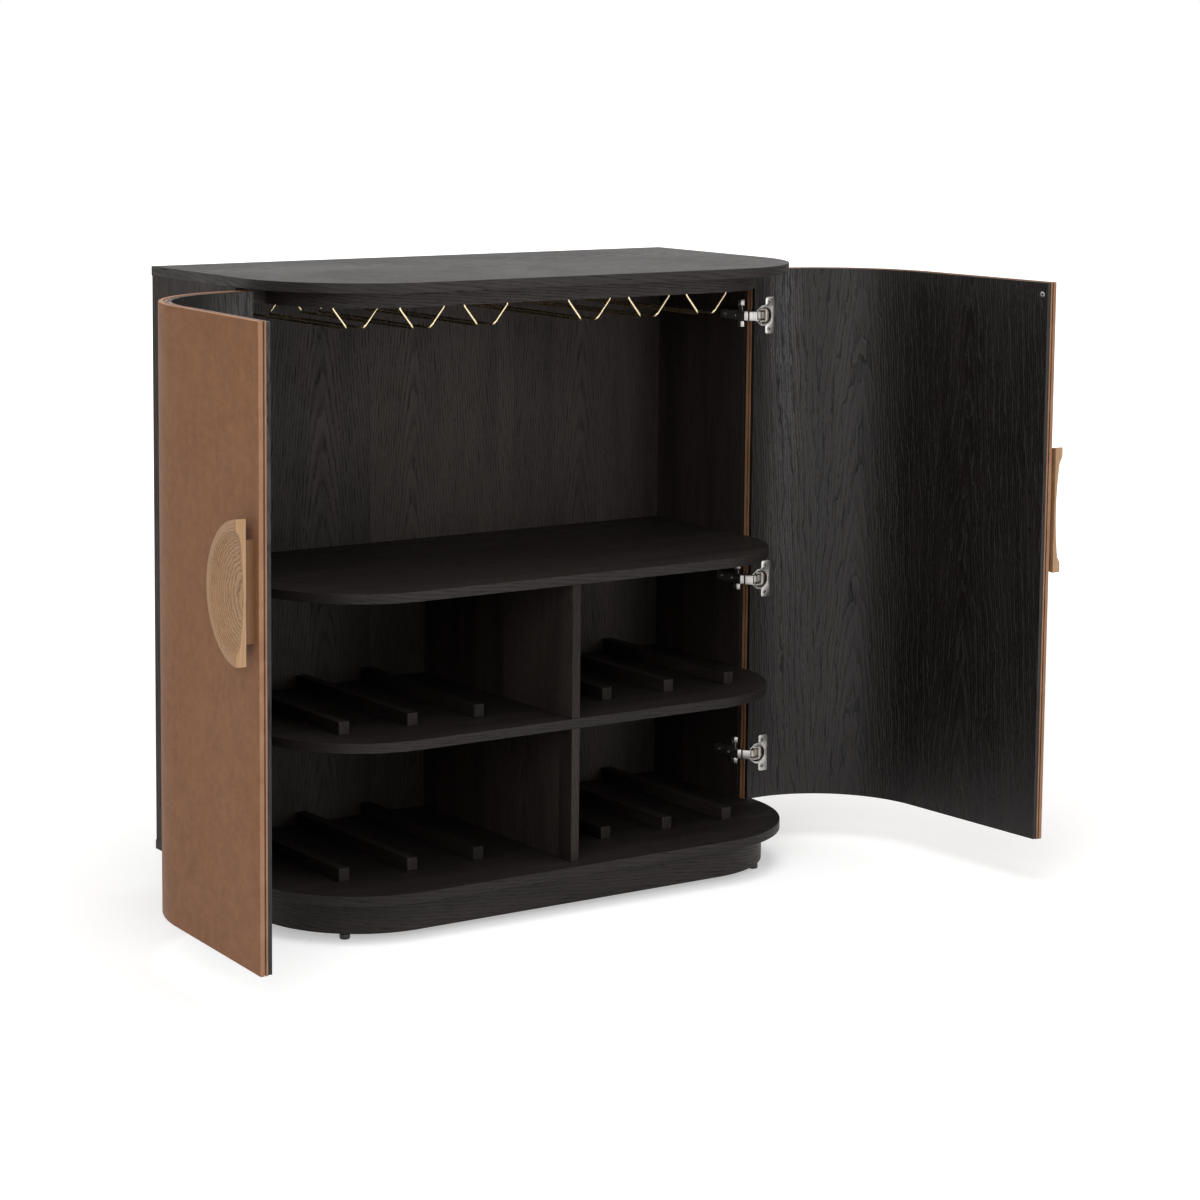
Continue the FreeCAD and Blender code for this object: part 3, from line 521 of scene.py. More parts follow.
def makeLeather():
    material, place = newMaterial("saddleLeather")
    hide = useGroup(hideGrain, place)
    marks = useGroup(handling, place, Scale=2.2)
    blotch = cloud(place, scale=70.0, detail=5.0, rough=0.68)
    speck = cloud(place, scale=380.0, detail=3.0, rough=0.6)
    deep, pale = "leatherDeep", "leatherPale"
    body = coated(
        mixTone(hide["Mottle"].ramp(0.32, 0.70), deep, "leather"),
        (hide["Streak"].ramp(0.45, 0.75, 0.0, 0.25), pale),
        (blotch.ramp(0.46, 0.66, 0.0, 0.55), pale),
        (speck.ramp(0.50, 0.66, 0.0, 0.5), deep),
        (hide["Creases"] * 0.28, deep))
    height = hide["Mottle"] * 0.4 - hide["Creases"]
    return shaded(material, Base_Color=body, Roughness=hide["Creases"] * 0.14 + 0.50 + marks["Smudge"] * 0.08,
                  Specular_IOR_Level=0.16, Normal=raised(height, strength=0.35, distance=0.00022))


def makeLeatherCut():
    # the turned-over strip and the welt along the door's edges
    material, place = newMaterial("leatherWelt")
    hide = useGroup(hideGrain, place, Cell_Scale=900.0)
    body = coated(
        mixTone(hide["Mottle"].ramp(0.30, 0.72), "leather", "leatherCut"),
        (hide["Creases"] * 0.22, "leatherDeep"))
    height = hide["Mottle"] - hide["Creases"]
    return shaded(material, Base_Color=body, Roughness=hide["Creases"].scaled(0.15, 0.5),
                  Normal=raised(height, strength=0.3, distance=0.0002))


def makeGroove():
    # the groove's dark colour is painted shade in the recess
    material, place = newMaterial("paintedGrooveShade")
    hide = useGroup(hideGrain, place)
    return shaded(material, Base_Color=mixTone(hide["Mottle"].ramp(), "grooveShade", "leatherDeep"),
                  Roughness=hide["Creases"].scaled(0.1, 0.62))


def makeCarvedOak():
    # dished face: the rings come out as contour lines, so their phase is stored on the mesh
    material, place = newMaterial("carvedOak")
    slow = cloud(place, scale=55.0, detail=3.0, rough=0.55)
    fast = cloud(place, scale=420.0, rough=0.6)
    phase = stored(material, "ringPhase") + slow.scaled(1.6, fast * 0.5)
    fine = (phase * 3.0).calc("FRACT").ramp(0.0, 0.5, 1.0, 0.0, smooth=True)
    fine = fine * cloud(place, scale=260.0, rough=0.6).ramp(0.48, 0.62)
    ring = ringLine(phase.calc("FRACT"), 0.42, 0.90) * cloud(place, scale=90.0).ramp(0.35, 0.6, 0.55)
    ring = ring.most(fine * 0.7) * stored(material, "plainRim").scaled(-0.5, 1.0)
    grain = useGroup(oakFigure, grainUv(material), Leaf_Width=0.5, Ring_Count=60.0, Arch_Count=3.0)
    wear = useGroup(edgeWear, place, Radius=0.002, Reach=0.9)
    body = coated(
        mixTone(grain["Tone"].ramp(), "oakLate", "oakCarved"),
        (ring * 0.85, "oakPore"),
        (grain["Pores"] * 0.25, "oakPore"),
        (grain["Fibre"].ramp(0.4, 0.8, 0.0, 0.3), "oakLate"),
        (wear["Mask"] * 0.6, "oakRub"))
    height = grain["Fibre"] * 0.2 - (grain["Pores"] * 0.4 + ring)
    return shaded(material, Base_Color=body, Roughness=ring.scaled(0.12, 0.50), Specular_IOR_Level=0.35,
                  Normal=raised(height, strength=0.9, distance=0.0009))


def makePlainOak(name, early, late, pale):
    # sawn faces of the handles and their stand-offs, grain upright
    material, place = newMaterial(name)
    grain = useGroup(oakFigure, grainUv(material), Leaf_Width=0.6, Ring_Count=420.0, Arch_Count=5.0)
    wear = useGroup(edgeWear, place, Radius=0.0018, Reach=0.9)
    body = coated(
        mixTone(grain["Tone"].ramp(), late, pale),
        (grain["Rings"] * 0.35, early),
        (grain["Pores"] * 0.5, "oakPore"),
        (wear["Mask"] * 0.5, pale))
    height = grain["Fibre"] * 0.3 - grain["Pores"]
    return shaded(material, Base_Color=body, Roughness=grain["Pores"].scaled(0.2, 0.48), Specular_IOR_Level=0.35,
                  Normal=raised(height, strength=0.5, distance=0.0003))


def makeMetal(name, bright, shade, gloss):
    material, place = newMaterial(name)
    worn = useGroup(metalWear, place)
    marks = useGroup(handling, place, Scale=60.0)
    wear = useGroup(edgeWear, place, Radius=0.0006, Reach=0.7)
    body = coated(
        mixTone(worn["Cloud"].ramp(newHigh=0.45), bright, shade),
        (worn["Pits"] * 0.5, shade),
        (wear["Mask"] * 0.5, bright))
    height = worn["Lines"] * 0.3 - worn["Pits"]
    return shaded(material, Base_Color=body, Metallic=1.0,
                  Roughness=worn["Lines"] * 0.12 + gloss + marks["Smudge"] * 0.08,
                  Normal=raised(height, strength=0.25, distance=0.00006))


def makePlastic():
    material, place = newMaterial("blackPlastic")
    marks = useGroup(handling, place, Scale=30.0)
    wear = useGroup(edgeWear, place, Radius=0.0008, Reach=0.8)
    grit = cloud(place, scale=1800.0, detail=3.0, rough=0.6)
    body = coated(
        mixTone(grit.ramp(0.35, 0.7), "plasticDark", "plasticLight"),
        (wear["Mask"] * 0.5, "plasticRub"),
        (marks["Dust"] * 0.3, "plasticDust"))
    return shaded(material, Base_Color=body, Roughness=marks["Smudge"].scaled(0.15, 0.42),
                  Normal=raised(grit, strength=0.3, distance=0.0001))


looks = {
    "leather": makeLeather(),
    "leatherCut": makeLeatherCut(),
    "grooveShade": makeGroove(),
    "carvedOak": makeCarvedOak(),
    "plainOak": makePlainOak("plainOak", "oakEarly", "oakLate", "oakRub"),
    # the stand-offs get a darker copy of the handles' oak: painted shade
    "shadedStandOak": makePlainOak("shadedStandOak", "standEarlyShaded", "standLateShaded", "oakEarly"),
    "plastic": makePlastic(),
}
for table, make in ((blackOaks, makeBlackOak), (metals, makeMetal)):
    for look, values in table.items():
        looks[look] = make(*values)
print("finishes made:", ", ".join(sorted(looks)))


# dressed copies of the boards: clean faces, eased edges, grain laid along each board

rails = tuple("%s_%s_rail_%d" % (shelf, half, i)
              for shelf in ("lower", "upper") for half in ("left", "right") for i in (1, 2, 3))
boards = {
    "weld": 2e-6,
    "flatAngle": 0.4,  # faces that bend less than this become one
    "facing": 0.6,  # a face looks along an axis when its normal has this much of it
    "grainStep": (1.37, 0.83),  # from one board's cut of veneer to the next one's
    "bevelSteps": 2,
    "jobs": (
        # nodes, which way the grain lies, finish, slot, edge easing
        # the finishes are lighter and darker copies of one black oak: painted light and shade per set of boards
        (("top_panel", "sub_top"), "flat", "blackOak", "black_oak", 0.0010),
        (("mid_shelf", "lower_shelf", "bottom_panel"), "flat", "shelfOak", "black_oak", 0.0010),
        (("back_panel",), "upright", "innerOak", "black_oak", 0.0009),
        (("left_side_panel", "right_side_panel", "upper_divider", "lower_divider"), "upright",
         "sideOak", "black_oak", 0.0009),
        (rails, "deep", "shelfOak", "black_oak", 0.0012),
        (("plinth_band", "plinth_back_rail"), "band", "shelfOak", "black_oak", 0.0008),
        (("left_door_board", "right_door_board"), "door", "doorOak", "door_oak", 0.0006),
    ),
}


def bodyOf(node):
    return nodes[node]["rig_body"]


def homeMatrix(node):
    body = bodyOf(node)
    if body == "carcass":
        return carcassMatrix.inverted()
    return doorMatrix(-1 if body == "left_door" else 1).inverted()


def grainPlace(kind, p, n):
    # u across the grain, v along it, in metres
    facing = boards["facing"]
    lies = abs(n.z) > facing
    run, out, outward = planRun(p.x, p.y)
    if kind == "flat":
        return (p.y, p.x) if lies else (p.z, run)
    if kind == "upright":
        if lies:
            return p.x, p.y
        return (p.y, p.z) if abs(n.x) > abs(n.y) else (p.x, p.z)
    if kind == "deep":
        if abs(n.y) > facing:
            return p.x, p.z
        return (p.x, p.y) if lies else (p.z, p.y)
    if kind == "stand":
        return p.x * 0.6 + p.y, p.z
    if lies:
        return out, run
    if kind == "band":
        return p.z, run
    return (run, p.z) if abs(n.dot(outward)) > facing else (out, p.z)


def bareMesh(node):
    # the node's shape without its stored normals, welded, each flat face in one piece
    source = nodes[node].data
    mesh = bpy.data.meshes.new("bare")
    mesh.from_pydata([v.co for v in source.vertices], [], [tuple(p.vertices) for p in source.polygons])
    bm = bmesh.new()
    bm.from_mesh(mesh)
    bpy.data.meshes.remove(mesh)
    bmesh.ops.remove_doubles(bm, verts=bm.verts, dist=boards["weld"])
    bmesh.ops.dissolve_limit(bm, angle_limit=math.radians(boards["flatAngle"]), verts=bm.verts, edges=bm.edges)
    bmesh.ops.recalc_face_normals(bm, faces=bm.faces)
    return bm


def layGrain(bm, node, kind, shift):
    home = homeMatrix(node)
    turn = home.to_3x3()
    layer = bm.loops.layers.uv.new("grain")
    for face in bm.faces:
        n = turn @ face.normal
        for loop in face.loops:
            u, v = grainPlace(kind, home @ loop.vert.co, n)
            loop[layer].uv = (u + shift[0], v + shift[1])


def addPiece(name, mesh, body, replaced, finishes):
    piece = addObject(name, mesh)
    for look in finishes:
        mesh.materials.append(looks[look])
    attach(piece, body)
    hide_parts(*replaced)
    return piece


def easeEdges(piece, width, angle):
    setAll(piece.modifiers.new("easedEdges", "BEVEL"), width=width, segments=boards["bevelSteps"],
           limit_method="ANGLE", angle_limit=math.radians(angle), harden_normals=True)
    setAll(piece.modifiers.new("faceNormals", "WEIGHTED_NORMAL"), keep_sharp=True)


def dress(node, prefix, kind, shift, finishes, ease, angle=35, sort=None):
    # sort, where there is one, gives a face the number of its finish
    bm = bareMesh(node)
    layGrain(bm, node, kind, shift)
    if sort:
        home = homeMatrix(node)
        for face in bm.faces:
            face.material_index = sort(home @ face.calc_center_median(), home.to_3x3() @ face.normal)
    mesh = meshOf(bm, prefix + node)
    mesh.polygons.foreach_set("use_smooth", [True] * len(mesh.polygons))
    piece = addPiece(prefix + node, mesh, bodyOf(node), (node,), finishes)
    easeEdges(piece, ease, angle)


def nextCut(seed):
    return tuple(seed * step for step in boards["grainStep"])


def dressBoards():
    seed = 1
    for names, kind, look, slotName, ease in boards["jobs"]:
        for node in names:
            dress(node, "dressed_", kind, nextCut(seed), (look,), ease)
            seed += 1
    print("boards dressed:", seed - 1)


dressBoards()


# leather skins of the doors: face, groove and turned-over strip told apart by depth

skin = {
    "grainSeed": 3,
    "skinBase": 0.2115,  # from the corner's centre, where the groove begins
    "grooveBase": 0.2087,
    "facing": 0.5,
    "ease": 0.0009,
    "easeAngle": 40,
    "finishes": ("leather", "leatherCut", "grooveShade"),
}


def skinFinish(centre, normal):
    run, out, outward = planRun(centre.x, centre.y)
    if normal.dot(outward) > skin["facing"]:
        name = "leather"
    elif skin["grooveBase"] < out <= skin["skinBase"]:
        name = "grooveShade"
    else:
        name = "leatherCut"
    return skin["finishes"].index(name)


for label, side in sides:
    dress(label + "_leather_panel", "skin_", "door", nextCut(skin["grainSeed"]),
          skin["finishes"], skin["ease"], skin["easeAngle"], skinFinish)
print("leather skins dressed")


# small shapes for the fittings

shaping = {
    "tiny": 1e-7,
    "arcShare": 0.49,  # of a side, so that two rounded corners never meet
    "arcSteps": 5,
    "turnSteps": 40,
    "weld": 1e-6,
    "creaseAngle": 32,
}


def roundedLoop(corners, steps=shaping["arcSteps"]):
    # corners are x, y and a radius; each is replaced by a tangent arc
    loop = []
    share = shaping["arcShare"]
    for i, (x, y, radius) in enumerate(corners):
        here = Vector((x, y))
        before = Vector(corners[i - 1][:2]) - here
        after = Vector(corners[(i + 1) % len(corners)][:2]) - here
        half = before.angle(after) / 2
        back = min(radius / math.tan(half), before.length * share, after.length * share) if radius else 0
        if back < shaping["tiny"]:
            loop.append((x, y))
            continue
        real = back * math.tan(half)
        before.normalize()
        after.normalize()
        middle = here + (before + after).normalized() * (real / math.sin(half))
        first = here + before * back - middle
        last = here + after * back - middle
        turn = math.atan2(first.x * last.y - first.y * last.x, first.dot(last))
        for k in range(steps + 1):
            spun = Matrix.Rotation(turn * k / steps, 2) @ first
            loop.append((middle.x + spun.x, middle.y + spun.y))
    return loop


def ringLoop(radius, count=shaping["turnSteps"]):
    angles = [2 * math.pi * k / count for k in range(count)]
    return [(radius * math.cos(angle), radius * math.sin(angle)) for angle in angles]


def crossLoop(reach, half):
    loop = [(half, half), (half, reach), (-half, reach)]
    for k in range(9):  # the other three arms, each a quarter turn on
        x, y = loop[k]
        loop.append((-y, x))
    return loop


def plate(loops, thick, ease):
    # a flat blank with eased edges, the first loop its outline and the others holes, standing on z = 0
    curve = setAll(bpy.data.curves.new("blank", "CURVE"), dimensions="2D", fill_mode="BOTH",
                   extrude=thick / 2 - ease, bevel_depth=ease, bevel_resolution=1, offset=-ease)
    for loop in loops:
        spline = curve.splines.new("POLY")
        spline.points.add(len(loop) - 1)
        for point, (x, y) in zip(spline.points, loop):
            point.co = (x, y, 0, 1)
        spline.use_cyclic_u = True
    holder = bpy.data.objects.new("blank", curve)
    mesh = bpy.data.meshes.new_from_object(holder)
    bpy.data.objects.remove(holder)
    bpy.data.curves.remove(curve)
    mesh.transform(at(0, 0, thick / 2))
    return mesh


def turned(profile, steps=shaping["turnSteps"]):
    # radius and height pairs spun round z
    bm = bmesh.new()
    rings = []
    for radius, height in profile:
        if radius < shaping["tiny"]:
            rings.append([bm.verts.new((0, 0, height))] * steps)
        else:
            rings.append([bm.verts.new((x, y, height)) for x, y in ringLoop(radius, steps)])
    for low, high in zip(rings, rings[1:]):
        for k in range(steps):
            after = (k + 1) % steps
            bm.faces.new(list(dict.fromkeys([low[k], low[after], high[after], high[k]])))
    return meshOf(bm, "turned")


def gather(name, bits):
    # one mesh out of many bits, each with its place and the number of its finish
    bm = bmesh.new()
    for bit, place, number in bits:
        firstVert, firstFace = len(bm.verts), len(bm.faces)
        bm.from_mesh(bit)
        bm.verts.ensure_lookup_table()
        bm.faces.ensure_lookup_table()
        bmesh.ops.transform(bm, matrix=place, verts=bm.verts[firstVert:])
        for face in bm.faces[firstFace:]:
            face.material_index = number
            face.smooth = True
    bmesh.ops.remove_doubles(bm, verts=bm.verts, dist=shaping["weld"])
    bmesh.ops.recalc_face_normals(bm, faces=bm.faces)
    mesh = meshOf(bm, name)
    mesh.set_sharp_from_angle(angle=math.radians(shaping["creaseAngle"]))
    return mesh


def frameAt(x, y, z, xWay, zWay):
    xWay, zWay = Vector(xWay), Vector(zWay)
    return at(x, y, z) @ Matrix((xWay, zWay.cross(xWay), zWay)).transposed().to_4x4()


def addSet(name, bits, body, replaced, finishes):
    return addPiece(name, gather(name, bits), body, (replaced,), finishes)


# handles: one side of a disc, dished, with contour rings, on an oak stand-off

handle = {
    "level": 0.651,
    "inset": 0.009,
    "radius": 0.108,
    "back": -0.2807,  # plan y of the face against the stand-off
    "thick": 0.0174,
    "dishRadius": 0.092,
    "stepRadius": 0.082,
    "stepDepth": 0.0062,
    "dishDepth": 0.0122,
    "ease": 0.0016,
    "bends": (22.5, 45, 67.5, 90),  # angles of the eased edges' facets
    "fillet": 0.0022,  # softening of the dish's two rims
    "filletTaps": 4,
    "spokes": 200,
    "wallFrom": 0.078,  # the loops lie closer on the dish's wall
    "wallTo": 0.096,
    "wallStep": 0.0007,
    "plainStep": 0.0013,
    "heartX": -0.006,
    "ringSlope": 900.0,  # rings per square metre of distance from the heart
    "ringSink": 378.0,  # rings per metre of depth
    "ringsAbove": 9,  # rings per metre of height over the middle
    "ringsBelow": 6,
    "rimGap": 0.003,  # the rings fade on the rim, from this far outside the dish
    "rimFade": 0.004,
    "sideLean": 0.3,  # of the grain on the sawn faces
    "creaseAngle": 50,
    "finishes": ("carvedOak", "plainOak"),
    "standSeed": 5,
    "standEase": 0.0012,
    "standEaseAngle": 40,
}


def hardDish(r):
    # depth of the face below the rim's flat
    rim, step = handle["dishRadius"], handle["stepRadius"]
    if r >= rim:
        return 0.0
    if r >= step:
        return handle["stepDepth"] * ((rim - r) / (rim - step))
    rise = handle["dishDepth"] - handle["stepDepth"]
    return handle["stepDepth"] + rise * (1 - (r / step) ** 2)


def dishAt(r):
    taps = handle["filletTaps"]
    spots = [abs(r + handle["fillet"] * k / taps) for k in range(-taps, taps + 1)]
    return sum(hardDish(spot) for spot in spots) / len(spots)


def handleRows():
    # loops of x, height and depth, from the straight side's middle out to the round edge
    radius, inset, ease, thick, spokes = (handle[k] for k in ("radius", "inset", "ease", "thick", "spokes"))
    start = inset + ease
    bends = [math.radians(bend) for bend in handle["bends"]]
    edge = [(ease * math.sin(bend), ease * (1 - math.cos(bend))) for bend in bends]
    loops = []
    r = start
    while r < radius - ease:
        loops.append((r, 0.0))
        r += handle["wallStep"] if handle["wallFrom"] < r < handle["wallTo"] else handle["plainStep"]
    loops += [(radius - ease + out, drop) for out, drop in [(0.0, 0.0)] + edge]
    rows = []
    for r, drop in loops:
        depth = dishAt(r) + drop
        low = math.asin(min(1.0, start / r))
        angles = [low + (math.pi - 2 * low) * k / spokes for k in range(spokes + 1)]
        row = [(r * math.sin(angle), r * math.cos(angle), depth) for angle in angles]
        first, last = ([(start - out, z, depth + drop) for out, drop in edge] for x, z, depth in (row[0], row[-1]))
        row = first[::-1] + row + last
        rows.append((r, [row[0][:2] + (thick,)] + row + [row[-1][:2] + (thick,)]))
    return rows


def ringPhaseAt(x, z, depth):
    away = (x - handle["heartX"]) ** 2 + z * z
    onFace = x > handle["inset"] + shaping["weld"]
    sunk = (depth - handle["dishDepth"]) * handle["ringSink"] if onFace else 0.0
    return away * handle["ringSlope"] - sunk + z * (handle["ringsAbove"] if z > 0 else handle["ringsBelow"])


def handleMesh(name, side):
    front = handle["back"] - handle["thick"]
    bm = bmesh.new()
    phase = bm.verts.layers.float.new("ringPhase")
    plainRim = bm.verts.layers.float.new("plainRim")
    rows = []
    for r, points in handleRows():
        plain = min(1.0, max(0.0, (r - handle["dishRadius"] - handle["rimGap"]) / handle["rimFade"]))
        rows.append([])
        for x, z, depth in points:
            vert = bm.verts.new((side * x, front + depth, handle["level"] + z))
            vert[phase] = ringPhaseAt(x, z, depth)
            vert[plainRim] = plain
            rows[-1].append(vert)
    last = [bm.verts.new((v.co.x, handle["back"], v.co.z)) for v in rows[-1]]
    rows.append(last)
    spans = len(last) - 1
    for low, high in zip(rows, rows[1:]):
        for k in range(spans):
            corners = list(dict.fromkeys([low[k], low[k + 1], high[k + 1], high[k]]))
            if len(corners) > 2:
                face = bm.faces.new(corners)
                face.material_index = 1 if k in (0, spans - 1) or high is last else 0
    bmesh.ops.remove_doubles(bm, verts=bm.verts, dist=boards["weld"])
    rim = [e for e in bm.edges if e.is_boundary]
    for face in bmesh.ops.contextual_create(bm, geom=rim)["faces"]:
        face.material_index = 1
    bmesh.ops.recalc_face_normals(bm, faces=bm.faces)
    layer = bm.loops.layers.uv.new("grain")
    for face in bm.faces:
        face.smooth = True
        for loop in face.loops:
            x, y, z = loop.vert.co
            loop[layer].uv = (x if face.material_index == 0 else y - handle["sideLean"] * x, z + side)
    bmesh.ops.transform(bm, matrix=doorMatrix(side), verts=bm.verts)
    mesh = meshOf(bm, name)
    mesh.set_sharp_from_angle(angle=math.radians(handle["creaseAngle"]))
    return mesh


def dressHandles():
    for label, side in sides:
        node = label + "_handle"
        name = "carved_" + node
        addPiece(name, handleMesh(name, side), bodyOf(node), (node,), handle["finishes"])
        seed = handle["standSeed"] + side
        dress(node + "_stand", "eased_", "stand", (seed, seed), ("shadedStandOak",),
              handle["standEase"], handle["standEaseAngle"])
    print("handles carved")


dressHandles()


# screws and bolts

screwShape = {
    "radius": 0.0037,
    "steps": 36,
    "seat": ((0, 0.0), (0.0037, 0.0), (0.0037, 0.00081), (0, 0.0009)),
    "capLift": 0.000684,
    "capThick": 0.001116,
    "capEase": 0.0005,
    "recess": 0.0027,
    "recessHalf": 0.00085,
    "boltRadius": 0.0040,
    "boltSocket": 0.0021,
    "boltThick": 0.0016,
    "boltEase": 0.00045,
    "boltFloor": ((0, 0.0), (0.0036, 0.0), (0.0036, 0.0005), (0, 0.0005)),
}


def screwBits(place, head, dark, scale=1.0):
    # pan head with a cross recess, sitting on z = 0 of its place; the seat under the cap takes the dark finish as
    # painted shade in the recess and under the head
    s = screwShape
    loops = [ringLoop(s["radius"], s["steps"]), crossLoop(s["recess"], s["recessHalf"])]
    cap = plate(loops, s["capThick"], s["capEase"])
    sized = place @ Matrix.Scale(scale, 4)
    return [(turned(s["seat"]), sized, dark), (cap, sized @ at(0, 0, s["capLift"]), head)]


def boltBits(place, head):
    # low round head with a hexagon socket
    s = screwShape
    cap = plate([ringLoop(s["boltRadius"]), ringLoop(s["boltSocket"], 6)], s["boltThick"], s["boltEase"])
    return [(cap, place, head), (turned(s["boltFloor"]), place, head)]


# hinges, drawn for the right side in millimetres: flange and bowl on the door, arm and plate on the case

hinge = {
    "cupAt": (504.0, -52.5),  # plan place of the cup's middle on the shut door's inner face
    "tilt": 3.0,  # the flange leans on the door's bend
    "flange": ((16.6, -9.2, 1.5), (16.6, 9.2, 1.5), (12.2, 12.8, 6), (4.5, 18.3, 9), (-3.4, 19.0, 1.2),
               (-3.4, 33, 4), (-23.6, 33, 4), (-23.6, -33, 4), (-3.4, -33, 4), (-3.4, -19.0, 1.2),
               (4.5, -18.3, 9), (12.2, -12.8, 6)),
    "mouth": ((14.6, -8.7, 1.5), (14.6, 8.7, 1.5), (9, 12.3, 5), (2, 14.4, 8), (-8, 14.2, 8), (-14.2, 9.2, 5),
              (-16.8, 3.5, 4), (-16.8, -3.5, 4), (-14.2, -9.2, 5), (-8, -14.2, 8), (2, -14.4, 8), (9, -12.3, 5)),
    "flangeThick": 2.4,
    "lipThick": 3.1,
    "lipSpread": (1.14, 1.12),  # of the mouth's outline
    "pressEase": 0.6,
    "pressLift": -0.8,
    "bowl": ((17.35, 0.6), (17.2, -1.0), (17.0, -11.6), (16.2, -12.8), (14.5, -13.2), (0, -13.2)),
    "bowlSteps": 56,
    "pin": ((0, -10.5), (1.5, -10.5), (1.5, 10.5), (0, 10.5)),
    "pinSteps": 20,
    "link": ((-12.6, -6.0, 4), (-9.0, -12.4, 4), (7.5, -12.4, 2.5), (7.5, -8.9, 0.8), (-5.6, -8.9, 0.8),
             (-5.6, 8.9, 0.8), (7.5, 8.9, 0.8), (7.5, 12.4, 2.5), (-9.0, 12.4, 4), (-12.6, 6.0, 4)),
    "boss": ((0.9, -6.0, 1.2), (10.6, -6.0, 1.2), (10.6, 6.0, 1.2), (0.9, 6.0, 1.2)),
    "bridge": ((-6.5, -5.8, 0.5), (2.0, -5.8, 0.5), (2.0, 5.8, 0.5), (-6.5, 5.8, 0.5)),
    # in the bowl: outline, thickness, easing, lift
    "blocks": (("link", 12.5, 1.2, -12.8), ("boss", 11.5, 1.2, -13.1), ("bridge", 6.8, 0.6, -12.9)),
    # narrow beside the pin, so that the cheeks stay in the cup's mouth when the door goes past square
    "cheek": ((9.4, -11.4, 1.4), (13.4, -11.4, 1.4), (12.9, -4.6, 1), (11.9, 0.2, 1), (11.6, 2.2, 0.5),
              (12.6, 3.4, 0.5), (14.2, 4.1, 0.6), (19.2, 5.2, 0.4), (18.0, 6.5, 0.5), (14.2, 6.9, 1.2),
              (10.0, 5.4, 1.6)),
    "cheekThick": 1.9,
    "cheekEase": 0.4,
    "cheekAt": (8.2, -6.3),
    "arm": ((507.0, -56.8, 0.5), (496.7, -47.5, 0.8), (496.7, -43.6, 0.6), (491.6, -39.0, 1.0), (491.6, 30.0, 1.5),
            (493.0, 31.0, 0.6), (497.5, 31.0, 0.3), (497.5, -41.0, 0.3), (498.9, -43.0, 0.5), (498.9, -47.5, 0.6),
            (507.9, -55.6, 0.5)),
    "wing": ((502.0, -26.2, 0.3), (501.2, -26.2, 0.5), (497.0, -21.8, 0.6), (497.0, -19.3, 0.4),
             (499.4, -19.3, 0.3), (499.4, -10.5, 0.4), (502.0, -10.5, 0.3)),
    "web": ((502.0, -22.0, 0.3), (500.4, -22.0, 0.4), (500.4, -11.0, 0.4), (502.0, -11.0, 0.3)),
    "hub": ((502.0, -24.5, 0.3), (497.6, -24.5, 0.6), (497.6, 27.5, 0.6), (502.0, 27.5, 0.3)),
    # upright runs of a strip: outline, from and to about the hinge's level, easing
    "armRuns": (("arm", -8.2, 8.2, 0.7),),
    "plateRuns": (("wing", 17.0, 27.5, 0.5), ("wing", -21.0, -10.5, 0.5), ("web", -21.5, 24.5, 0.4),
                  ("hub", -8.1, 8.1, 0.4)),
    # local x, y and lift on the flange, then the turn of the cross
    "flangeScrews": ((-11.5, 24.0, 1.5, 20), (-11.5, -24.0, 1.5, 65)),
    # plan x and y, height about the level, turn of the cross
    "armScrews": ((491.7, -12.0, 0.0, 30), (491.7, 16.0, 0.0, 75)),
    "armScrewSize": 0.85,
    "plateScrews": ((500.4, -15.0, 17.5, 10), (500.4, -15.0, -14.5, 50)),
    "plateScrewSize": 0.9,
}


def metres(points):
    return [tuple(value / 1000 for value in point) for point in points]


def outlineOf(name):
    return roundedLoop(metres(hinge[name]))


def blank(name, thick, ease):
    return plate([outlineOf(name)], thick / 1000, ease / 1000)


def inward(x, y, height):
    # local x runs to the back, or to the door's hinge end, and local z into the cabinet
    return frameAt(x / 1000, y / 1000, height, (0, 1, 0), (-1, 0, 0))


def cupSeat(level):
    # the cup's own place, and the same leaning with the flange
    seat = inward(*hinge["cupAt"], level)
    return seat, seat @ spin(hinge["tilt"], "Y")


def flangeBits(level):
    seat, lean = cupSeat(level)
    press = lean @ at(0, 0, hinge["pressLift"] / 1000)
    ease = hinge["pressEase"] / 1000
    mouth = outlineOf("mouth")
    spreadX, spreadY = hinge["lipSpread"]
    flange = plate([outlineOf("flange"), mouth], hinge["flangeThick"] / 1000, ease)
    lip = plate([[(x * spreadX, y * spreadY) for x, y in mouth], mouth], hinge["lipThick"] / 1000, ease)
    bowl = turned(metres(hinge["bowl"]), hinge["bowlSteps"])
    pin = turned(metres(hinge["pin"]), hinge["pinSteps"])
    blocks = [(blank(name, thick, ease), seat @ at(0, 0, lift / 1000), 2)
              for name, thick, ease, lift in hinge["blocks"]]
    return [(flange, press, 0), (lip, press, 0), (bowl, seat, 1)] + blocks \
        + [(pin, at(plan["pinX"], plan["pinY"], level), 0)]


def flangeScrewBits(level):
    seat, lean = cupSeat(level)
    bits = []
    for x, y, lift, turn in hinge["flangeScrews"]:
        bits += screwBits(lean @ at(x / 1000, y / 1000, lift / 1000) @ spin(turn), 0, 1)
    return bits


def runBits(level, runs):
    return [(blank(name, high - low, ease), at(0, 0, level + low / 1000), 0) for name, low, high, ease in runs]


def caseScrewBits(level, screws, head, dark, size):
    bits = []
    for x, y, height, turn in screws:
        bits += screwBits(inward(x, y, level + height / 1000) @ spin(turn), head, dark, size)
    return bits


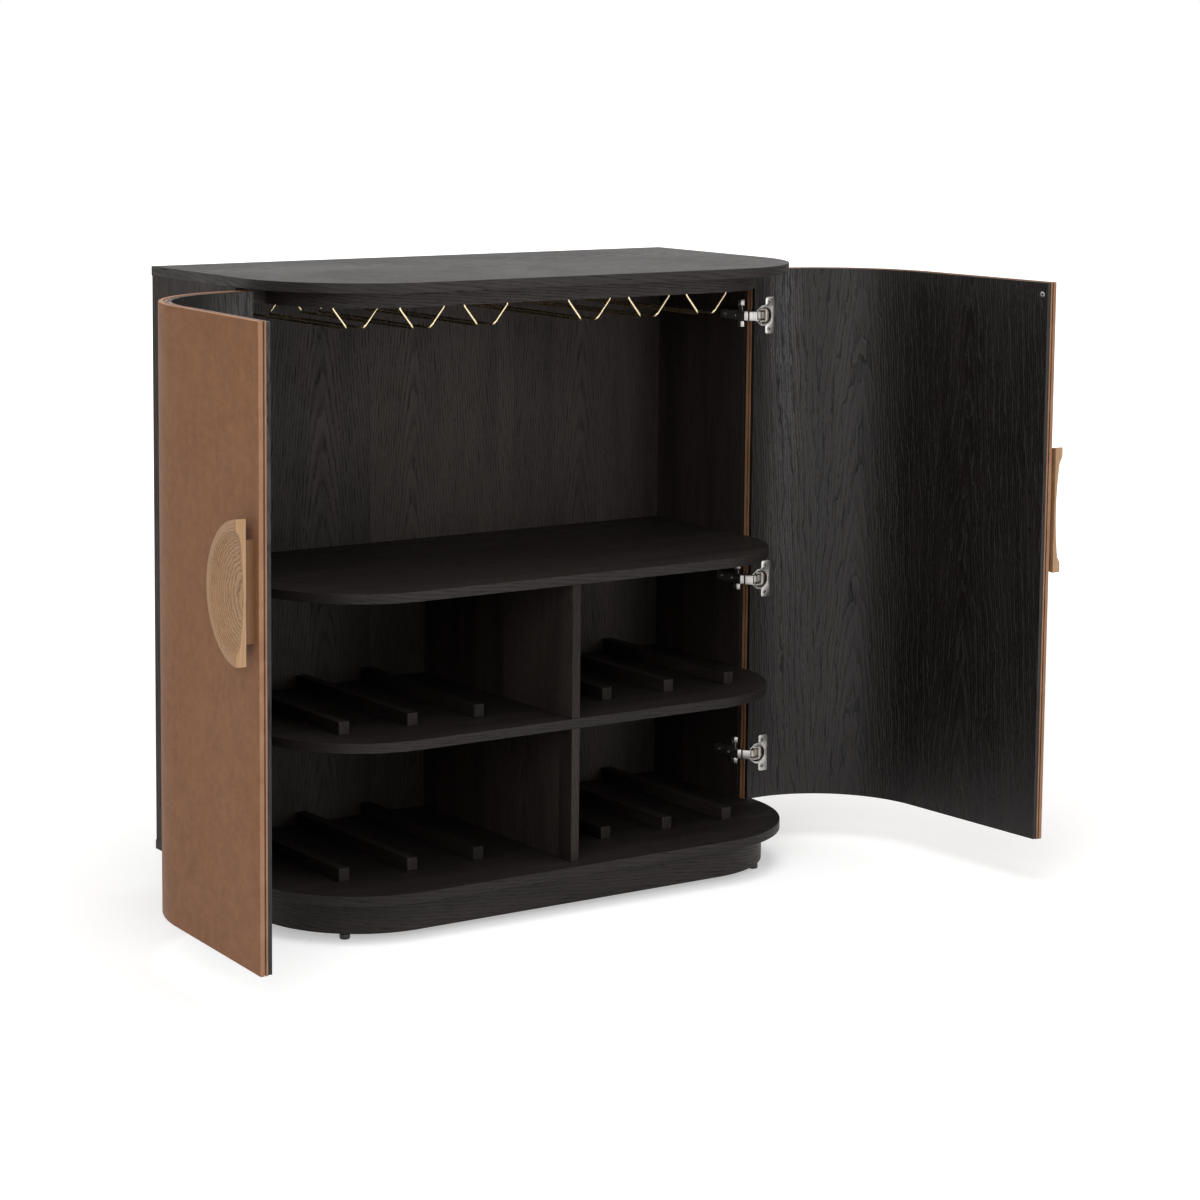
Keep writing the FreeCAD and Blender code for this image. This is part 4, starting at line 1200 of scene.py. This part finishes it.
def armBits(level):
    # the cheeks lie beside the pin, where the open door has its cup
    cup = doorMatrix(1, at(0, 0, level)) @ inward(*hinge["cupAt"], 0)
    cheek = blank("cheek", hinge["cheekThick"], hinge["cheekEase"])
    cheeks = [(cheek, cup @ at(0, y / 1000, 0) @ spin(90, "X"), 0) for y in hinge["cheekAt"]]
    return runBits(level, hinge["armRuns"]) + cheeks \
        + caseScrewBits(level, hinge["armScrews"], 1, 2, hinge["armScrewSize"])


def plateBits(level):
    return runBits(level, hinge["plateRuns"])


def plateScrewBits(level):
    return caseScrewBits(level, hinge["plateScrews"], 0, 1, hinge["plateScrewSize"])


hingeSets = (
    # new piece, its bits, whether it is on the door, slot, node that it replaces, finishes
    ("hinge_flanges", flangeBits, True, "hinge_nickel", "hinge_cups", ("nickel", "cupSteel", "linkSteel")),
    ("flange_screws", flangeScrewBits, True, "screw_nickel", "cup_screws", ("screw", "darkSteelAndRecessShade")),
    ("goosenecks", armBits, False, "hinge_nickel", "hinge_arms", ("nickel", "screw", "darkSteelAndRecessShade")),
    ("mounting_plates", plateBits, False, "hinge_nickel", "hinge_plates", ("nickel",)),
    ("mounting_screws", plateScrewBits, False, "screw_nickel", "plate_screws", ("screw", "darkSteelAndRecessShade")),
)


def dressHinges():
    for label, side in sides:
        # the left set is the right one turned over, about each hinge's own level
        turn = spin(180, "Y") if side < 0 else Matrix()
        for name, make, onDoor, slotName, node, finishes in hingeSets:
            matrix = doorMatrix(side) if onDoor else carcassMatrix
            bits = []
            for level in plan["hingeLevels"]:
                up = at(0, 0, level) @ turn @ at(0, 0, -level)
                bits += [(mesh, matrix @ up @ place, number) for mesh, place, number in make(level)]
            addSet("%s_%s" % (label, name), bits, label + "_door" if onDoor else "carcass",
                   "%s_%s" % (label, node), finishes)
    print("hinges fitted")


dressHinges()


# bolts behind the handles, strike discs, feet

smallParts = {
    "innerFace": -0.244,
    "boltX": 0.029,
    "boltRise": 0.032,
    "strikeX": 0.0145,
    "strikeLevel": 1.021,
    "strikeRadius": 0.005,
    "strikeSteps": 48,
    "strikeHole": 0.0018,
    "strikeThick": 0.0012,
    "strikeEase": 0.0004,
    "strikeCore": ((0, 0), (0.0045, 0), (0.0045, 0.0003), (0, 0.0003)),
    "strikeNub": ((0, 0), (0.0013, 0), (0.0012, 0.0005), (0, 0.0006)),
    "nubSteps": 24,
}
feet = {
    "places": ((0.4152, -0.186), (0.484, 0.199)),
    "profile": ((0, 0.0003), (0.0062, 0.0003), (0.0078, 0.0009), (0.0085, 0.0024), (0.0085, 0.0078),
                (0.0080, 0.0089), (0.0068, 0.0093), (0.0062, 0.0096), (0.0060, 0.0105), (0.0060, 0.012),
                (0, 0.012)),
    "steps": 44,
    "ribs": 9,  # for grip, round the rim
    "ribOut": 0.0084,
    "ribBase": 0.0026,
    "ribHeight": 0.0052,
    "ribEase": 0.0001,
    "ribCorners": ((-0.0009, -0.0003, 0.0002), (0.0009, -0.0003, 0.0002), (0.0009, 0.0003, 0.0002),
                   (-0.0009, 0.0003, 0.0002)),
    "ribSteps": 2,
}


def onInnerFace(side, x, z):
    return doorMatrix(side) @ frameAt(side * x, smallParts["innerFace"], z, (1, 0, 0), (0, 1, 0))


def dressBolts(label, side):
    bits = []
    for sign in (1, -1):
        rise = sign * smallParts["boltRise"]
        bits += boltBits(onInnerFace(side, smallParts["boltX"], handle["level"] + rise), 0)
    addSet(label + "_socket_bolts", bits, label + "_door", label + "_handle_bolts", ("darkSteelAndRecessShade",))


def dressStrike(label, side):
    s = smallParts
    spot = onInnerFace(side, s["strikeX"], s["strikeLevel"])
    loops = [ringLoop(s["strikeRadius"], s["strikeSteps"]), ringLoop(s["strikeHole"], s["nubSteps"])]
    disc = plate(loops, s["strikeThick"], s["strikeEase"])
    core = turned(s["strikeCore"])
    nub = turned(s["strikeNub"], s["nubSteps"])
    addSet(label + "_strike_washer", [(disc, spot, 0), (core, spot, 1), (nub, spot, 1)], label + "_door",
           label + "_strike_disc", ("strike", "darkSteelAndRecessShade"))


def dressFeet():
    foot = turned(feet["profile"], feet["steps"])
    rib = plate([roundedLoop(feet["ribCorners"], feet["ribSteps"])], feet["ribHeight"], feet["ribEase"])
    bits = []
    for x, y in feet["places"]:
        for side in (-1, 1):
            bits.append((foot, carcassMatrix @ at(side * x, y, 0), 0))
            for k in range(feet["ribs"]):
                place = carcassMatrix @ at(side * x, y, feet["ribBase"]) @ spin(360 * k / feet["ribs"])
                bits.append((rib, place @ at(feet["ribOut"], 0, 0) @ spin(90), 0))
    addSet("ribbed_feet", bits, "carcass", "levelling_feet", ("plastic",))


for label, side in sides:
    dressBolts(label, side)
    dressStrike(label, side)
dressFeet()
print("bolts, strikes and feet fitted")


# what keeps its CAD shape gets its finish

for node, look in [(n, "brass") for n in nodes if "stem_hanger" in n] + [("carcass_dowels", "plainOak")]:
    mesh = nodes[node].data
    for i in range(len(mesh.materials)):
        mesh.materials[i] = looks[look]
print("wires finished")
